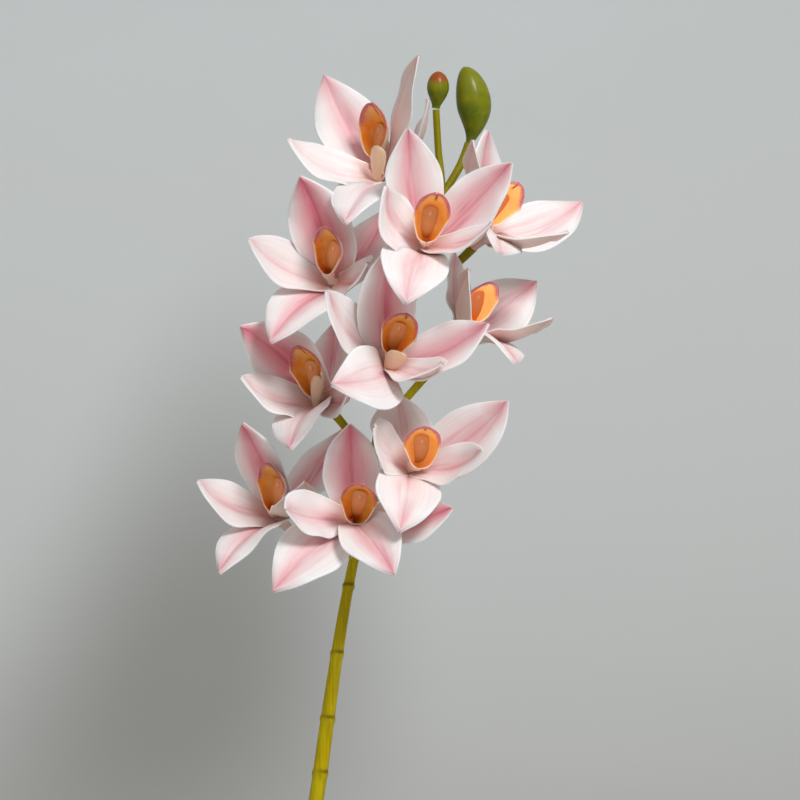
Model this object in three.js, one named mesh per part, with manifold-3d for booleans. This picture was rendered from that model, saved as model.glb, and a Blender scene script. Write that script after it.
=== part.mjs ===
// Potted orchid: a cymbidium in a plain round pot, with one leaning spike of ten open blooms and two buds.
// Millimetres, +Z up. The origin is the middle of the pot's flat underside. The blooms face the front, -Y.
import * as THREE from "three";
import { mergeVertices } from "three/addons/utils/BufferGeometryUtils.js";
import Module from "manifold-3d";

const wasm = await Module();
wasm.setup();

// ---------------------------------------------------------------- driving dimensions

const POT = {
  height: 125, rim: 71, foot: 52, wall: 5, floor: 7, lip: 3, drain: 4.5, drainRing: 24, sides: 30,
};
const MEDIUM = { top: 112, chips: 18, chip: [27, 16, 8], spread: 54, margin: 1.2, seed: 7, sides: 15 };
const GAP = 0.3; // clearance between two pieces that touch
const SLACK = 0.05; // how far a cut surface may move when its small facets are merged

// The front view that the flowers' places are read in: its eye is level with the middle of the spray.
const VIEW = { range: 1500, height: 470, middle: 50 };

// The spike's centre line from the potting bark to the top bud: [x, y, z].
const SPIKE_LINE = [
  [-8, 8, 98], [-7.5, 8, 130], [-6, 8, 165], [-3, 7, 200], [1.5, 6, 235], [8, 5, 270], [13.5, 5, 309],
  [18.5, 5, 343.5], [24, 5, 376], [28, 5, 395], [33, 5, 415], [37, 5, 442.5], [42, 5, 470], [48, 5, 497.5],
  [55, 4, 522.5], [63, 3, 545], [69, 2, 562.5], [70.8, 3, 577.5], [69.2, 4, 595], [68, 4, 615.5],
];
const SPIKE_GIRTH = [[98, 9.2], [300, 7.3], [387, 5], [616, 3.4]]; // [height, diameter]
const RINGS = [150, 182, 216, 250, 282.5, 310, 342.5, 376.5]; // heights of the leaf scars round the stem
const STALK = { root: 4, end: 4.8, sides: 6, steps: 4 };
const OVARY = { length: 9, root: 4.6, crown: 8, top: 3 };

// Each bloom: its throat [x, z, depth], the way it faces (degrees to the right, and up), the height where its
// stalk leaves the spike, the foot and top of its lip's mouth [x, z] and how far to the right that mouth
// looks, the tip and width [x, z, width] of the tongue before it, if the lip has one, and its five tepals as
// [kind, tip x, tip z, reach, width, sweep, turn]. A tip lies its reach from the throat, before it, or behind
// it where the reach is negative. Sweep is how far the middle lies clockwise of a straight line to the tip.
// Turn rolls the tepal about that line, in degrees.
const BLOOMS = [
  {
    name: "bloom_a", throat: [42.5, 580, -8], faces: [-25, 40], stalk: 553,
    mouth: [[36, 593], [36, 618.5], -38], tongue: [39, 597, 10.5],
    tepals: [
      ["sepal", 60, 642, 66, 27, 3, 160], ["sepal", 12, 632.5, -62, 33, -2], ["petal", -5.5, 601, 56, 28, -3],
      ["sepal", 22.5, 558.5, 58, 30, 0], ["petal", 63.5, 620.5, 56, 24, 0, -15],
    ],
  },
  {
    name: "bloom_b", throat: [62, 546, -42], faces: [8, 28], stalk: 533,
    mouth: [[63.5, 551], [68.5, 573.5], 6],
    tepals: [
      ["sepal", 54, 605.5, 60, 30, 0], ["petal", 43.5, 577, 48, 30, -5], ["sepal", 53, 518.5, 58, 34, 2],
      ["petal", 95.5, 559, 56, 26, 0, -15], ["sepal", 105.5, 588.5, 61.5, 28, 0],
    ],
  },
  {
    name: "bloom_c", throat: [92, 552, -6], faces: [44, 36], stalk: 520,
    mouth: [[96, 559], [109, 578.5], 15],
    tepals: [
      ["sepal", 94, 605, 53.5, 30, 1], ["petal", 87, 600, 57, 28, -4, 35], ["sepal", 100, 543.5, 54, 28, 0],
      ["petal", 134, 554.5, 57, 29, 4], ["sepal", 141.5, 569.5, -57, 29, 4],
    ],
  },
  {
    name: "bloom_d", throat: [17.5, 527, -12], faces: [-20, 32], stalk: 495,
    mouth: [[12, 535], [14, 556], -40],
    tepals: [
      ["sepal", 0, 581.5, 61, 33, 2], ["petal", -25, 550.5, 56, 30, 0], ["sepal", -15, 499, 58, 32, 0],
      ["petal", 33, 539, 50, 26, 0], ["sepal", 43.5, 566.5, -49, 28, 2],
    ],
  },
  {
    name: "bloom_e", throat: [44, 486.5, -40], faces: [8, 38], stalk: 474,
    mouth: [[46, 494], [53.5, 513], 4], tongue: [50, 494, 11],
    tepals: [
      ["sepal", 43, 544, 60, 30, 0], ["petal", 14, 524.5, 57, 30, 0], ["sepal", 16, 478, 58, 34, -4, -30],
      ["petal", 71, 489, 52, 26, 0], ["sepal", 94, 508.5, 58, 32, 2],
    ],
  },
  {
    name: "bloom_f", throat: [11, 468.5, -8], faces: [-30, 25], stalk: 437,
    mouth: [[6, 473.5], [-1, 497], -26], tongue: [8.8, 482, 8],
    tepals: [
      ["sepal", -29.5, 506.5, 58, 32, 3], ["petal", -29, 482, 55, 30, -2], ["sepal", -5, 445.5, 57, 30, 0],
      ["petal", 23.5, 474.5, 50, 24, 0], ["sepal", 17.5, 510, -45, 26, 0],
    ],
  },
  {
    name: "bloom_g", throat: [26.5, 409, -38], faces: [-3, 30], stalk: 391,
    mouth: [[27.5, 410], [30.5, 428], -6],
    tepals: [
      ["sepal", 25, 457.5, 51, 29, 0], ["petal", -6.5, 415.5, 53, 28, 2, -10],
      ["sepal", -13.5, 374.5, 63, 33, 0], ["petal", 47, 383, 57, 30, 0], ["sepal", 76, 416, 52, 28, 2],
    ],
  },
  {
    name: "bloom_h", throat: [-10.5, 411, -4], faces: [-32, 33], stalk: 398,
    mouth: [[-15, 416], [-15.5, 438], -40],
    tepals: [
      ["sepal", -29, 458, 58, 30, 0], ["petal", -50.5, 430, 52, 29, -2], ["sepal", -40.5, 383.5, 57, 26, 0],
      ["petal", 2, 429.5, 48, 24, 0, -55], ["sepal", 22.5, 456.5, -58, 28, 0],
    ],
  },
  {
    name: "bloom_i", throat: [83, 502, 0], faces: [50, 36], stalk: 455,
    mouth: [[89.5, 510], [94, 528.5], 24],
    tepals: [
      ["sepal", 77.5, 544, 44, 28, 0], ["petal", 85, 535.5, 54, 27, -3], ["sepal", 108, 488.5, 56, 28, 0],
      ["petal", 126, 511.5, 55, 27, 0], ["sepal", 118.5, 529.5, -54, 31, 0],
    ],
  },
  {
    name: "bloom_j", throat: [54.5, 435, -32], faces: [12, 26], stalk: 418,
    mouth: [[60, 437.5], [62.5, 456.5], 4],
    tepals: [
      ["sepal", 48.5, 474, -44, 32, 0], ["petal", 38, 456.5, 48, 28, 0], ["sepal", 50, 404.5, 58, 33, 0],
      ["petal", 90.5, 445, 55, 25, 0], ["sepal", 103.5, 469.5, 60.5, 32, 3],
    ],
  },
];
const TEPAL = {
  thick: 0.9, claw: 0.36, widest: 0.5, root: 2.5, petal: 2.4, sepal: -1.8,
  steps: [0, 0.2, 0.42, 0.64, 0.85, 1],
};
const BOW = { sepal: -0.05, petal: -0.12, lower: 0.1 }; // how far the belly lies before its chord, as a share
const CUP = { sepal: 0.5, petal: 0.72 }; // half the arc that a tepal is curled through across, in radians
const LIP = {
  root: 3.8, foot: 15, top: 41, tube: 5.4, opens: 0.26, widest: 0.7, width: 15.8, deep: 8, thick: 0.8,
  slit: 2.4, steps: [0, 0.17, 0.34, 0.54, 0.77, 0.93, 1],
};
const TONGUE = { proud: 3.5, curl: 0.9, steps: [0, 0.5, 0.85, 1] };
const COLUMN = {
  from: 0.14, to: 0.7, root: 3, head: 7.6, flat: 0.45, wall: 1.2, steps: [0, 0.3, 0.62, 0.87, 1], sides: 8,
};

// Each bud: its foot, middle and tip, its girth, where along it is fullest, and where its stalk leaves.
const BUDS = [
  { name: "bud_top", line: [[67.9, 4, 616.2], [69.4, 3, 625], [69, 1, 634.5]], girth: 11.2, belly: 0.58 },
  {
    name: "bud_side", line: [[85, 11, 599.5], [91, 11, 617], [82, 8, 637.5]], girth: 17.6, belly: 0.55,
    stalk: 570,
  },
];

// Each shoot: where its bulb stands, the bulb's radius and height, and its leaves as
// [direction in degrees from +X, reach, rise, drop below its root at the tip, width].
const SHOOTS = [
  {
    name: "shoot_right", at: [27, -14], radius: 17, height: 44, sunk: 9,
    leaves: [[-82, 150, 88, 30, 22], [-50, 205, 82, 36, 24], [-14, 235, 84, 52, 25], [20, 205, 78, 34, 23]],
  },
  {
    name: "shoot_left", at: [-34, -4], radius: 16, height: 40, sunk: 8,
    leaves: [[164, 215, 84, 40, 24], [196, 230, 80, 56, 25], [228, 185, 86, 34, 23], [258, 150, 78, 36, 21]],
  },
  {
    name: "shoot_back", at: [4, 37], radius: 14, height: 36, sunk: 8,
    leaves: [[46, 190, 72, 36, 23], [84, 200, 66, 50, 24], [124, 190, 72, 34, 23]],
  },
];

// ---------------------------------------------------------------- materials

const finish = (color, roughness) => new THREE.MeshStandardMaterial({ color, roughness, metalness: 0 });
const MATERIALS = {
  pot: finish(0xd9d5cc, 0.45),
  bark: finish(0x5a3d28, 0.95),
  bulb: finish(0x7f9440, 0.5),
  leaf: finish(0x3f6424, 0.45),
  stem: finish(0x8a8a17, 0.5),
  tepal: finish(0xf3d3d4, 0.55),
  lip: finish(0xe08a2e, 0.45),
  column: finish(0xe59a4e, 0.4),
  bud: finish(0x86981c, 0.4),
};

// ---------------------------------------------------------------- solids

const vector = (p) => new THREE.Vector3(...p);

// A closed geometry as a solid that can be joined and cut.
function solidOf(geometry) {
  const bare = new THREE.BufferGeometry().setAttribute("position", geometry.getAttribute("position"));
  if (geometry.index) bare.setIndex(geometry.index);
  const merged = mergeVertices(bare, 1e-4);
  const triVerts = new Uint32Array(merged.index.array);
  const vertProperties = new Float32Array(merged.attributes.position.array);
  return new wasm.Manifold(new wasm.Mesh({ numProp: 3, vertProperties, triVerts }));
}

function geometryOf(solid) {
  const mesh = solid.getMesh();
  return new THREE.BufferGeometry()
    .setAttribute("position", new THREE.BufferAttribute(mesh.vertProperties, 3))
    .setIndex(new THREE.BufferAttribute(mesh.triVerts, 1));
}

const plant = new THREE.Group();
function addNode(name, solid, material) {
  const mesh = new THREE.Mesh(geometryOf(solid), material);
  mesh.geometry.computeVertexNormals();
  mesh.name = name;
  plant.add(mesh);
}

// A closed geometry from two matching grids of points, the front and the back of a thin sheet.
function sheetGeometry(front, back) {
  const rows = front.length;
  const cols = front[0].length;
  const points = [...front.flat(), ...back.flat()];
  const f = (i, j) => i * cols + j;
  const b = (i, j) => rows * cols + i * cols + j;
  const faces = [];
  const quad = (p, q, r, s) => faces.push(p, q, s, q, r, s);
  for (let i = 0; i < rows - 1; i++) {
    for (let j = 0; j < cols - 1; j++) {
      quad(f(i, j), f(i, j + 1), f(i + 1, j + 1), f(i + 1, j));
      faces.push(b(i, j), b(i + 1, j), b(i, j + 1), b(i, j + 1), b(i + 1, j), b(i + 1, j + 1));
    }
    quad(f(i, 0), f(i + 1, 0), b(i + 1, 0), b(i, 0));
    quad(b(i, cols - 1), b(i + 1, cols - 1), f(i + 1, cols - 1), f(i, cols - 1));
  }
  for (let j = 0; j < cols - 1; j++) {
    quad(f(0, j), b(0, j), b(0, j + 1), f(0, j + 1));
    quad(f(rows - 1, j + 1), b(rows - 1, j + 1), b(rows - 1, j), f(rows - 1, j));
  }
  const position = new THREE.Float32BufferAttribute(points.flatMap((p) => [p.x, p.y, p.z]), 3);
  return new THREE.BufferGeometry().setAttribute("position", position).setIndex(faces);
}

// A thin sheet that follows a line: half(t) wide to each side, and curled up through curl(t). Across gives
// the direction of its width from that of its line, and margin carries it past both its edges.
function sheet({ line, across, half, curl, thick, steps, cols, margin = 0 }) {
  const front = [];
  const back = [];
  for (const t of steps) {
    const middle = line.getPoint(t);
    const along = line.getTangent(t);
    const side = across(along);
    const up = side.clone().cross(along).normalize();
    const radius = half(t) / curl(t);
    const arc = curl(t) + margin / radius;
    const frontRow = [];
    const backRow = [];
    for (let j = 0; j <= cols; j++) {
      const s = (2 * j) / cols - 1;
      const point = middle.clone()
        .addScaledVector(side, radius * Math.sin(arc * s))
        .addScaledVector(up, radius * (1 - Math.cos(arc * s)));
      const out = up.clone().multiplyScalar(Math.cos(arc * s)).addScaledVector(side, -Math.sin(arc * s));
      frontRow.push(point.clone().addScaledVector(out, thick / 2));
      backRow.push(point.addScaledVector(out, -thick / 2));
    }
    front.push(frontRow);
    back.push(backRow);
  }
  return solidOf(sheetGeometry(front, back));
}

// The width of a sheet whose inner side looks the way that face points.
const facing = (face) => (along) => along.clone().cross(face).normalize();

// A closed round limb along a line, radius(t) thick, with a ring of points at each step. Its section is flat
// times as thick as it is wide, and side is the direction of its width.
function limb(line, radius, steps, sides, flat = 1, side = new THREE.Vector3(1, 0, 0)) {
  const points = [];
  const faces = [];
  let across = side;
  for (const t of steps) {
    const along = line.getTangent(t);
    across = across.clone().addScaledVector(along, -across.dot(along)).normalize();
    const other = along.clone().cross(across);
    const middle = line.getPoint(t);
    for (let k = 0; k < sides; k++) {
      const turn = (2 * Math.PI * k) / sides;
      points.push(middle.clone()
        .addScaledVector(across, radius(t) * Math.cos(turn))
        .addScaledVector(other, flat * radius(t) * Math.sin(turn)));
    }
  }
  const last = (steps.length - 1) * sides;
  for (let i = 0; i < last; i += sides) {
    for (let k = 0; k < sides; k++) {
      const n = (k + 1) % sides;
      faces.push(i + k, i + n, i + sides + n, i + k, i + sides + n, i + sides + k);
    }
  }
  for (let k = 1; k < sides - 1; k++) faces.push(0, k + 1, k, last, last + k, last + k + 1);
  const position = new THREE.Float32BufferAttribute(points.flatMap((p) => [p.x, p.y, p.z]), 3);
  return solidOf(new THREE.BufferGeometry().setAttribute("position", position).setIndex(faces));
}

const evenly = (count) => Array.from({ length: count + 1 }, (_, i) => i / count);
const turned = (profile, sides) =>
  new THREE.LatheGeometry(profile.map(([r, h]) => new THREE.Vector2(r, h)), sides).rotateX(Math.PI / 2);

// The largest body of a solid, without the loose scraps that cutting leaves.
const largest = (solid) => solid.decompose().reduce((a, b) => (a.volume() > b.volume() ? a : b));

// ---------------------------------------------------------------- the pot and what fills it

// The inside radius of the pot at a height.
const potInside = (z) => POT.foot + ((POT.rim - POT.foot) * z) / POT.height - POT.wall;

function pot() {
  const { height, rim, foot, floor, wall, lip, drain, drainRing, sides } = POT;
  const profile = [
    [0, 0], [foot - 2, 0], [foot, 2], [rim - 2.2, height - 12], [rim, height - 10], [rim, height - 1.5],
    [rim - 1.5, height], [rim - wall, height], [potInside(height) - 1.5, height - lip],
    [potInside(floor), floor], [0, floor],
  ];
  let body = solidOf(turned(profile, sides));
  for (let k = 0; k < 4; k++) {
    const turn = (Math.PI / 2) * k + Math.PI / 4;
    const hole = new THREE.CylinderGeometry(drain, drain, 4 * floor, 8).rotateX(Math.PI / 2);
    hole.translate(drainRing * Math.cos(turn), drainRing * Math.sin(turn), 0);
    body = body.subtract(solidOf(hole));
  }
  return body;
}

// Seeded numbers from 0 to 1, the same each run.
function seeded(seed) {
  let state = seed;
  return () => {
    state = (state * 1664525 + 1013904223) % 4294967296;
    return state / 4294967296;
  };
}

// Bark chips of several sizes, heaped level just below the pot's lip, round what stands in them.
function medium(standing) {
  const { top, chips, chip, spread, seed, sides, margin } = MEDIUM;
  const foot = POT.floor + GAP;
  const inside = (z) => potInside(z) - margin;
  const plug = (height) =>
    solidOf(turned([[0, foot], [inside(foot), foot], [inside(height), height], [0, height]], sides));
  const random = seeded(seed);
  const golden = Math.PI * (3 - Math.sqrt(5));
  let bark = plug(top);
  for (let n = 0; n < chips; n++) {
    const out = spread * Math.sqrt((n + 0.5) / chips);
    const turn = n * golden;
    const size = 0.7 + 0.6 * random();
    const piece = new THREE.BoxGeometry(chip[0] * size, chip[1] * size, chip[2] * size);
    piece.rotateX((random() - 0.5) * 1.1).rotateY((random() - 0.5) * 0.9).rotateZ(random() * Math.PI);
    piece.translate(out * Math.cos(turn), out * Math.sin(turn), top - 0.5 + 2 * random());
    bark = bark.add(solidOf(piece));
  }
  bark = bark.intersect(plug(POT.height));
  for (const piece of standing) bark = bark.subtract(piece);
  return largest(bark);
}

// ---------------------------------------------------------------- the shoots

// A pseudobulb: an egg that stands on its broad end. Grow makes the hollow that it stands in.
function bulb({ at, radius, height, sunk }, grow = 0) {
  const rows = 7;
  const profile = [[0, -grow]];
  for (let i = 1; i < rows; i++) {
    const t = i / rows;
    profile.push([grow + radius * Math.sin(Math.PI * t ** 0.8) ** 0.75 * (1 - 0.3 * t), height * t]);
  }
  profile.push([0, height + grow]);
  return solidOf(turned(profile, 12).translate(at[0], at[1], MEDIUM.top - sunk));
}

// A strap leaf's middle line from the top of its bulb: up, out and over.
class LeafLine extends THREE.Curve {
  constructor(root, turn, reach, rise, drop) {
    super();
    Object.assign(this, { root, turn, reach, rise, drop });
  }
  getPoint(t, target = new THREE.Vector3()) {
    const out = this.reach * (0.35 * t + 0.65 * t * t) ** 0.92;
    const up = this.rise * 1.1 * Math.sin(Math.PI * 0.98 * t) ** 0.9 - this.drop * t ** 3;
    return target.set(
      this.root.x + out * Math.cos(this.turn),
      this.root.y + out * Math.sin(this.turn),
      this.root.z + up,
    );
  }
}

// A leaf's half width: narrow where it leaves the bulb, widest near the middle, drawn out to a point.
const leafHalf = (t, width) =>
  0.3 + (width / 2) * (0.45 + 0.55 * Math.min(1, t / 0.35)) * (1 - Math.max(0, (t - 0.45) / 0.55) ** 2.4);

// The leaves of one shoot, and the short sheath on top of the bulb that they grow from.
function leaves({ at, height, sunk, leaves: list }) {
  const top = MEDIUM.top - sunk + height + GAP;
  const sheath = new THREE.CylinderGeometry(3.4, 4.4, 7, 8).rotateX(Math.PI / 2);
  let fan = solidOf(sheath.translate(at[0], at[1], top + 3.5));
  for (const [degrees, reach, rise, drop, width] of list) {
    const turn = (degrees * Math.PI) / 180;
    const root = new THREE.Vector3(at[0] + 2.5 * Math.cos(turn), at[1] + 2.5 * Math.sin(turn), top + 1);
    const line = new LeafLine(root, turn, reach, rise, drop);
    const side = new THREE.Vector3(Math.sin(turn), -Math.cos(turn), 0);
    fan = fan.add(sheet({
      line, across: () => side, thick: 1, steps: evenly(6), cols: 2,
      half: (t) => leafHalf(t, width),
      curl: (t) => 0.95 - 0.55 * t,
    }));
  }
  return fan;
}

// ---------------------------------------------------------------- the spike

// The point in the part's own frame that lies at [x, z] of the front view and at depth y.
function spot(x, z, y) {
  const { range, middle, height } = VIEW;
  const scale = (range + y) / range;
  return new THREE.Vector3(middle + (x - middle) * scale, y, height + (z - height) * scale);
}

// The point at [x, z] of the front view that is reach from the throat: before it, or behind it if negative.
function reached(throat, x, z, reach) {
  let point = spot(x, z, throat.y);
  for (let round = 0; round < 4; round++) {
    const aside = (point.x - throat.x) ** 2 + (point.z - throat.z) ** 2;
    point = spot(x, z, throat.y - Math.sign(reach) * Math.sqrt(Math.max(0, reach ** 2 - aside)));
  }
  return point;
}

const throatOf = (bloom) => spot(...bloom.throat.slice(0, 2), bloom.throat[2]);

// The direction that looks right by one angle and up by another, in degrees, from straight ahead.
function heading(right, up) {
  const a = THREE.MathUtils.degToRad(right);
  const e = THREE.MathUtils.degToRad(up);
  return new THREE.Vector3(Math.sin(a) * Math.cos(e), -Math.cos(a) * Math.cos(e), Math.sin(e));
}

// The part of a direction that is square to another, at unit length.
const squared = (direction, other) =>
  direction.clone().addScaledVector(other, -direction.dot(other) / other.lengthSq()).normalize();

const spikeLine = new THREE.CatmullRomCurve3(SPIKE_LINE.map(vector), false, "centripetal");

// Where the spike's line is at a height, as a share of its length.
function spikeShare(z) {
  let low = 0;
  let high = 1;
  for (let round = 0; round < 40; round++) {
    const middle = (low + high) / 2;
    if (spikeLine.getPoint(middle).z < z) low = middle;
    else high = middle;
  }
  return low;
}

function spikeRadius(t) {
  const z = spikeLine.getPoint(t).z;
  const above = Math.max(1, SPIKE_GIRTH.findIndex(([height]) => height > z));
  const [low, high] = [SPIKE_GIRTH[above - 1], SPIKE_GIRTH[above]];
  const girth = THREE.MathUtils.mapLinear(z, low[0], high[0], low[1], high[1]);
  return girth / 2 + (RINGS.some((height) => Math.abs(height - z) < 0.5) ? 0.5 : 0);
}

// A flower's stalk: it leaves the spike towards the flower and comes up behind it along its axis.
function stalk(start, end, axis) {
  const pull = start.distanceTo(end) * 0.45;
  const first = start.clone().lerp(end, 0.45);
  const line = new THREE.CubicBezierCurve3(start, first, end.clone().addScaledVector(axis, -pull), end);
  const { root, end: thick, steps, sides } = STALK;
  return limb(line, (t) => (root + (thick - root) * t ** 3) / 2, evenly(steps), sides);
}

// The stem and every stalk that branches from it, in one piece.
function spike() {
  const stations = evenly(16);
  for (const z of RINGS) stations.push(spikeShare(z - 2.5), spikeShare(z), spikeShare(z + 2.5));
  stations.sort((a, b) => a - b);
  const apart = stations.filter((t, i) => i === 0 || t - stations[i - 1] > 0.003);
  let stem = limb(spikeLine, spikeRadius, apart, 8);
  for (const bloom of BLOOMS) {
    const axis = heading(...bloom.faces);
    const end = throatOf(bloom).addScaledVector(axis, -OVARY.length - GAP);
    stem = stem.add(stalk(spikeLine.getPoint(spikeShare(bloom.stalk)), end, axis));
  }
  for (const { line, stalk: height } of BUDS.filter((one) => one.stalk)) {
    const axis = vector(line[1]).sub(vector(line[0])).normalize();
    const end = vector(line[0]).addScaledVector(axis, -GAP);
    stem = stem.add(stalk(spikeLine.getPoint(spikeShare(height)), end, axis));
  }
  return stem;
}

// A closed bud: a short neck that swells to a round belly and closes to a blunt tip.
function bud({ line, girth, belly }) {
  const curve = new THREE.QuadraticBezierCurve3(...line.map(vector));
  const swell = (t) => (t < belly
    ? Math.sin((Math.PI / 2) * (t / belly)) ** 1.2
    : Math.max(0, 1 - ((t - belly) / (1 - belly)) ** 2) ** 0.62);
  const radius = (t) => 0.5 + (girth / 2 - 0.5) * swell(t) + 1.5 * (1 - t) ** 6;
  return limb(curve, radius, [0, 0.14, 0.28, 0.42, 0.56, 0.7, 0.83, 0.93, 0.985, 1], 8);
}

// ---------------------------------------------------------------- the blooms

// A tepal's half width as a share of its widest: a broad foot, full at its middle, and a pointed tip.
function tepalOutline(t) {
  const { claw, widest } = TEPAL;
  if (t < widest) return claw + (1 - claw) * Math.sin((Math.PI / 2) * (t / widest));
  return Math.max(0.02, 1 - ((t - widest) / (1 - widest)) ** 1.95);
}

function tepal(bloom, [kind, x, z, reach, width, sweep, turn = 0]) {
  const axis = heading(...bloom.faces);
  const throat = throatOf(bloom);
  const tip = reached(throat, x, z, reach);
  const radial = squared(tip.clone().sub(throat), axis);
  const root = throat.clone().addScaledVector(radial, TEPAL.root).addScaledVector(axis, TEPAL[kind]);
  const chord = tip.clone().sub(root);
  const face = squared(axis, chord).applyAxisAngle(chord.clone().normalize(), THREE.MathUtils.degToRad(turn));
  const belly = chord.length() * 2 * BOW[z < bloom.throat[1] ? "lower" : kind];
  const clockwise = chord.clone().cross(face).normalize();
  const bend = root.clone().lerp(tip, 0.5).addScaledVector(face, belly).addScaledVector(clockwise, 2 * sweep);
  return sheet({
    line: new THREE.QuadraticBezierCurve3(root, bend, tip),
    across: facing(face), thick: TEPAL.thick, steps: TEPAL.steps, cols: 2,
    half: (t) => (width / 2) * tepalOutline(t),
    curl: (t) => CUP[kind] * (1.25 - 0.7 * t),
  });
}

// The five tepals and the top of the ovary that they stand on, in one piece, clear of the lip's foot.
function tepals(bloom) {
  const axis = heading(...bloom.faces);
  const throat = throatOf(bloom);
  const { length, root, crown, top } = OVARY;
  const from = throat.clone().addScaledVector(axis, -length);
  const to = throat.clone().addScaledVector(axis, top);
  const full = (t) => root + (crown - root) * Math.sin((Math.PI / 2) * t) ** 1.5;
  const swell = (t) => full(t) / 2 - (t > 0.98 ? 1.2 : 0);
  let flower = limb(new THREE.LineCurve3(from, to), swell, [0, 0.5, 1], 8);
  for (const one of bloom.tepals) flower = flower.add(tepal(bloom, one));
  const hollow = lip(bloom, GAP);
  const room = hollow.add(hollow.translate(axis.multiplyScalar(-GAP).toArray())).hull();
  return largest(flower.subtract(room).simplify(SLACK));
}

// The lip's middle line, out of the throat as a tube and then up the back of its scoop to the top of its
// mouth, and the way that mouth looks.
function lipFrame(bloom) {
  const throat = throatOf(bloom);
  const [footAt, topAt, looks] = bloom.mouth;
  const foot = reached(throat, ...footAt, LIP.foot);
  const top = reached(throat, ...topAt, LIP.top);
  const face = squared(heading(looks, -15), top.clone().sub(foot));
  const line = new THREE.CatmullRomCurve3([
    throat.clone().addScaledVector(heading(...bloom.faces), LIP.root),
    foot.clone().addScaledVector(face, -0.7 * LIP.deep),
    foot.clone().lerp(top, 0.5).addScaledVector(face, -LIP.deep),
    top,
  ], false, "centripetal");
  return { line, face, foot };
}

// Half the width of the lip's mouth: a slit at its foot, widest above its middle, and round at its top.
function mouthHalf(t) {
  const { opens, widest, width, slit } = LIP;
  const open = Math.sin((Math.PI / 2) * Math.max(0, (t - opens) / (widest - opens))) ** 0.7;
  if (t < widest) return (slit + (width - slit) * open) / 2;
  return (width / 2) * Math.sqrt(Math.max(0.006, 1 - ((t - widest) / (1 - widest)) ** 2.4));
}

// The radius that the lip is rolled to, and half the angle, which lay its rim in the plane of its mouth.
function lipRoll({ line, face, foot }, t) {
  const wide = mouthHalf(t);
  const back = foot.clone().sub(line.getPoint(t)).dot(face);
  const open = THREE.MathUtils.smoothstep(t, 0.12, 0.33);
  const deep = Math.max(0.15 * wide, THREE.MathUtils.lerp(LIP.tube, back, open));
  return { radius: (wide ** 2 + deep ** 2) / (2 * deep), curl: 2 * Math.atan2(deep, wide) };
}

// The lip's tongue: a small flap that stands before the foot of its mouth, grown from its tube.
function tongue(bloom, { face }, grow) {
  const [x, z, width] = bloom.tongue;
  const throat = throatOf(bloom);
  const foot = new THREE.Vector2(...bloom.mouth[0]);
  const rise = new THREE.Vector2(...bloom.mouth[1]).sub(foot);
  const share = THREE.MathUtils.clamp(new THREE.Vector2(x, z).sub(foot).dot(rise) / rise.lengthSq(), 0, 1);
  const tip = reached(throat, x, z, THREE.MathUtils.lerp(LIP.foot, LIP.top, share) + TONGUE.proud);
  const root = throat.addScaledVector(heading(...bloom.faces), LIP.root - 1).addScaledVector(face, LIP.tube);
  const bend = root.clone().lerp(tip, 0.6).addScaledVector(face, 2.5);
  const full = (t) => 0.4 + 0.6 * Math.sin((Math.PI / 2) * Math.min(1, t / 0.6));
  return sheet({
    line: new THREE.QuadraticBezierCurve3(root, bend, tip), across: facing(face.clone().negate()),
    thick: LIP.thick + 2 * grow, margin: 1.5 * grow, steps: TONGUE.steps, cols: 2,
    half: (t) => (width / 2) * full(t) * Math.sqrt(Math.max(0.03, 1 - Math.max(0, (t - 0.6) / 0.4) ** 3.2)),
    curl: () => TONGUE.curl,
  });
}

// The lip, a scoop that is nearly a tube at its foot. Grow makes the clearance round it.
function lip(bloom, grow = 0) {
  const frame = lipFrame(bloom);
  const roll = (t) => lipRoll(frame, t);
  const scoop = sheet({
    line: frame.line, across: facing(frame.face), thick: LIP.thick + 2 * grow, margin: 1.5 * grow,
    steps: LIP.steps, cols: 6, half: (t) => roll(t).radius * roll(t).curl, curl: (t) => roll(t).curl,
  });
  return bloom.tongue ? scoop.add(tongue(bloom, frame, grow)) : scoop;
}

// The column's radius: it swells from its root to a head with a round top.
function columnRadius(t) {
  const { root, head } = COLUMN;
  const swell = root + (head - root) * Math.sin((Math.PI / 2) * Math.min(1, t / 0.7)) ** 2;
  return (swell / 2) * Math.sqrt(Math.max(0.12, 1 - Math.max(0, (t - 0.72) / 0.28) ** 2));
}

// The column: a flattened club that stands in the scoop against its back.
function column(bloom) {
  const frame = lipFrame(bloom);
  const { line, face } = frame;
  const { from, to, flat, wall, steps, sides } = COLUMN;
  const points = evenly(4).map((t) => {
    const along = from + (to - from) * t;
    const up = squared(face, line.getTangent(along));
    const proud = flat * columnRadius(Math.min(t, 0.7)) + LIP.thick / 2 + wall;
    return line.getPoint(along).addScaledVector(up, Math.min(proud, lipRoll(frame, along).radius));
  });
  const middle = new THREE.CatmullRomCurve3(points, false, "centripetal");
  return limb(middle, columnRadius, steps, sides, flat, middle.getTangent(0).cross(face));
}

// ---------------------------------------------------------------- the whole plant

const standing = SHOOTS.map((shoot) => bulb(shoot, GAP));
standing.push(limb(spikeLine, (t) => spikeRadius(t) + GAP, [0, 0.02, 0.04, 0.06, 0.08], 8));

addNode("pot", pot(), MATERIALS.pot);
addNode("potting_bark", medium(standing), MATERIALS.bark);
for (const shoot of SHOOTS) {
  addNode(shoot.name + "_bulb", bulb(shoot), MATERIALS.bulb);
  addNode(shoot.name + "_leaves", leaves(shoot), MATERIALS.leaf);
}
addNode("flower_spike", spike(), MATERIALS.stem);
for (const one of BUDS) addNode(one.name, bud(one), MATERIALS.bud);
for (const bloom of BLOOMS) {
  addNode(bloom.name + "_tepals", tepals(bloom), MATERIALS.tepal);
  addNode(bloom.name + "_lip", lip(bloom), MATERIALS.lip);
  addNode(bloom.name + "_column", column(bloom), MATERIALS.column);
}

export default plant;
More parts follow.
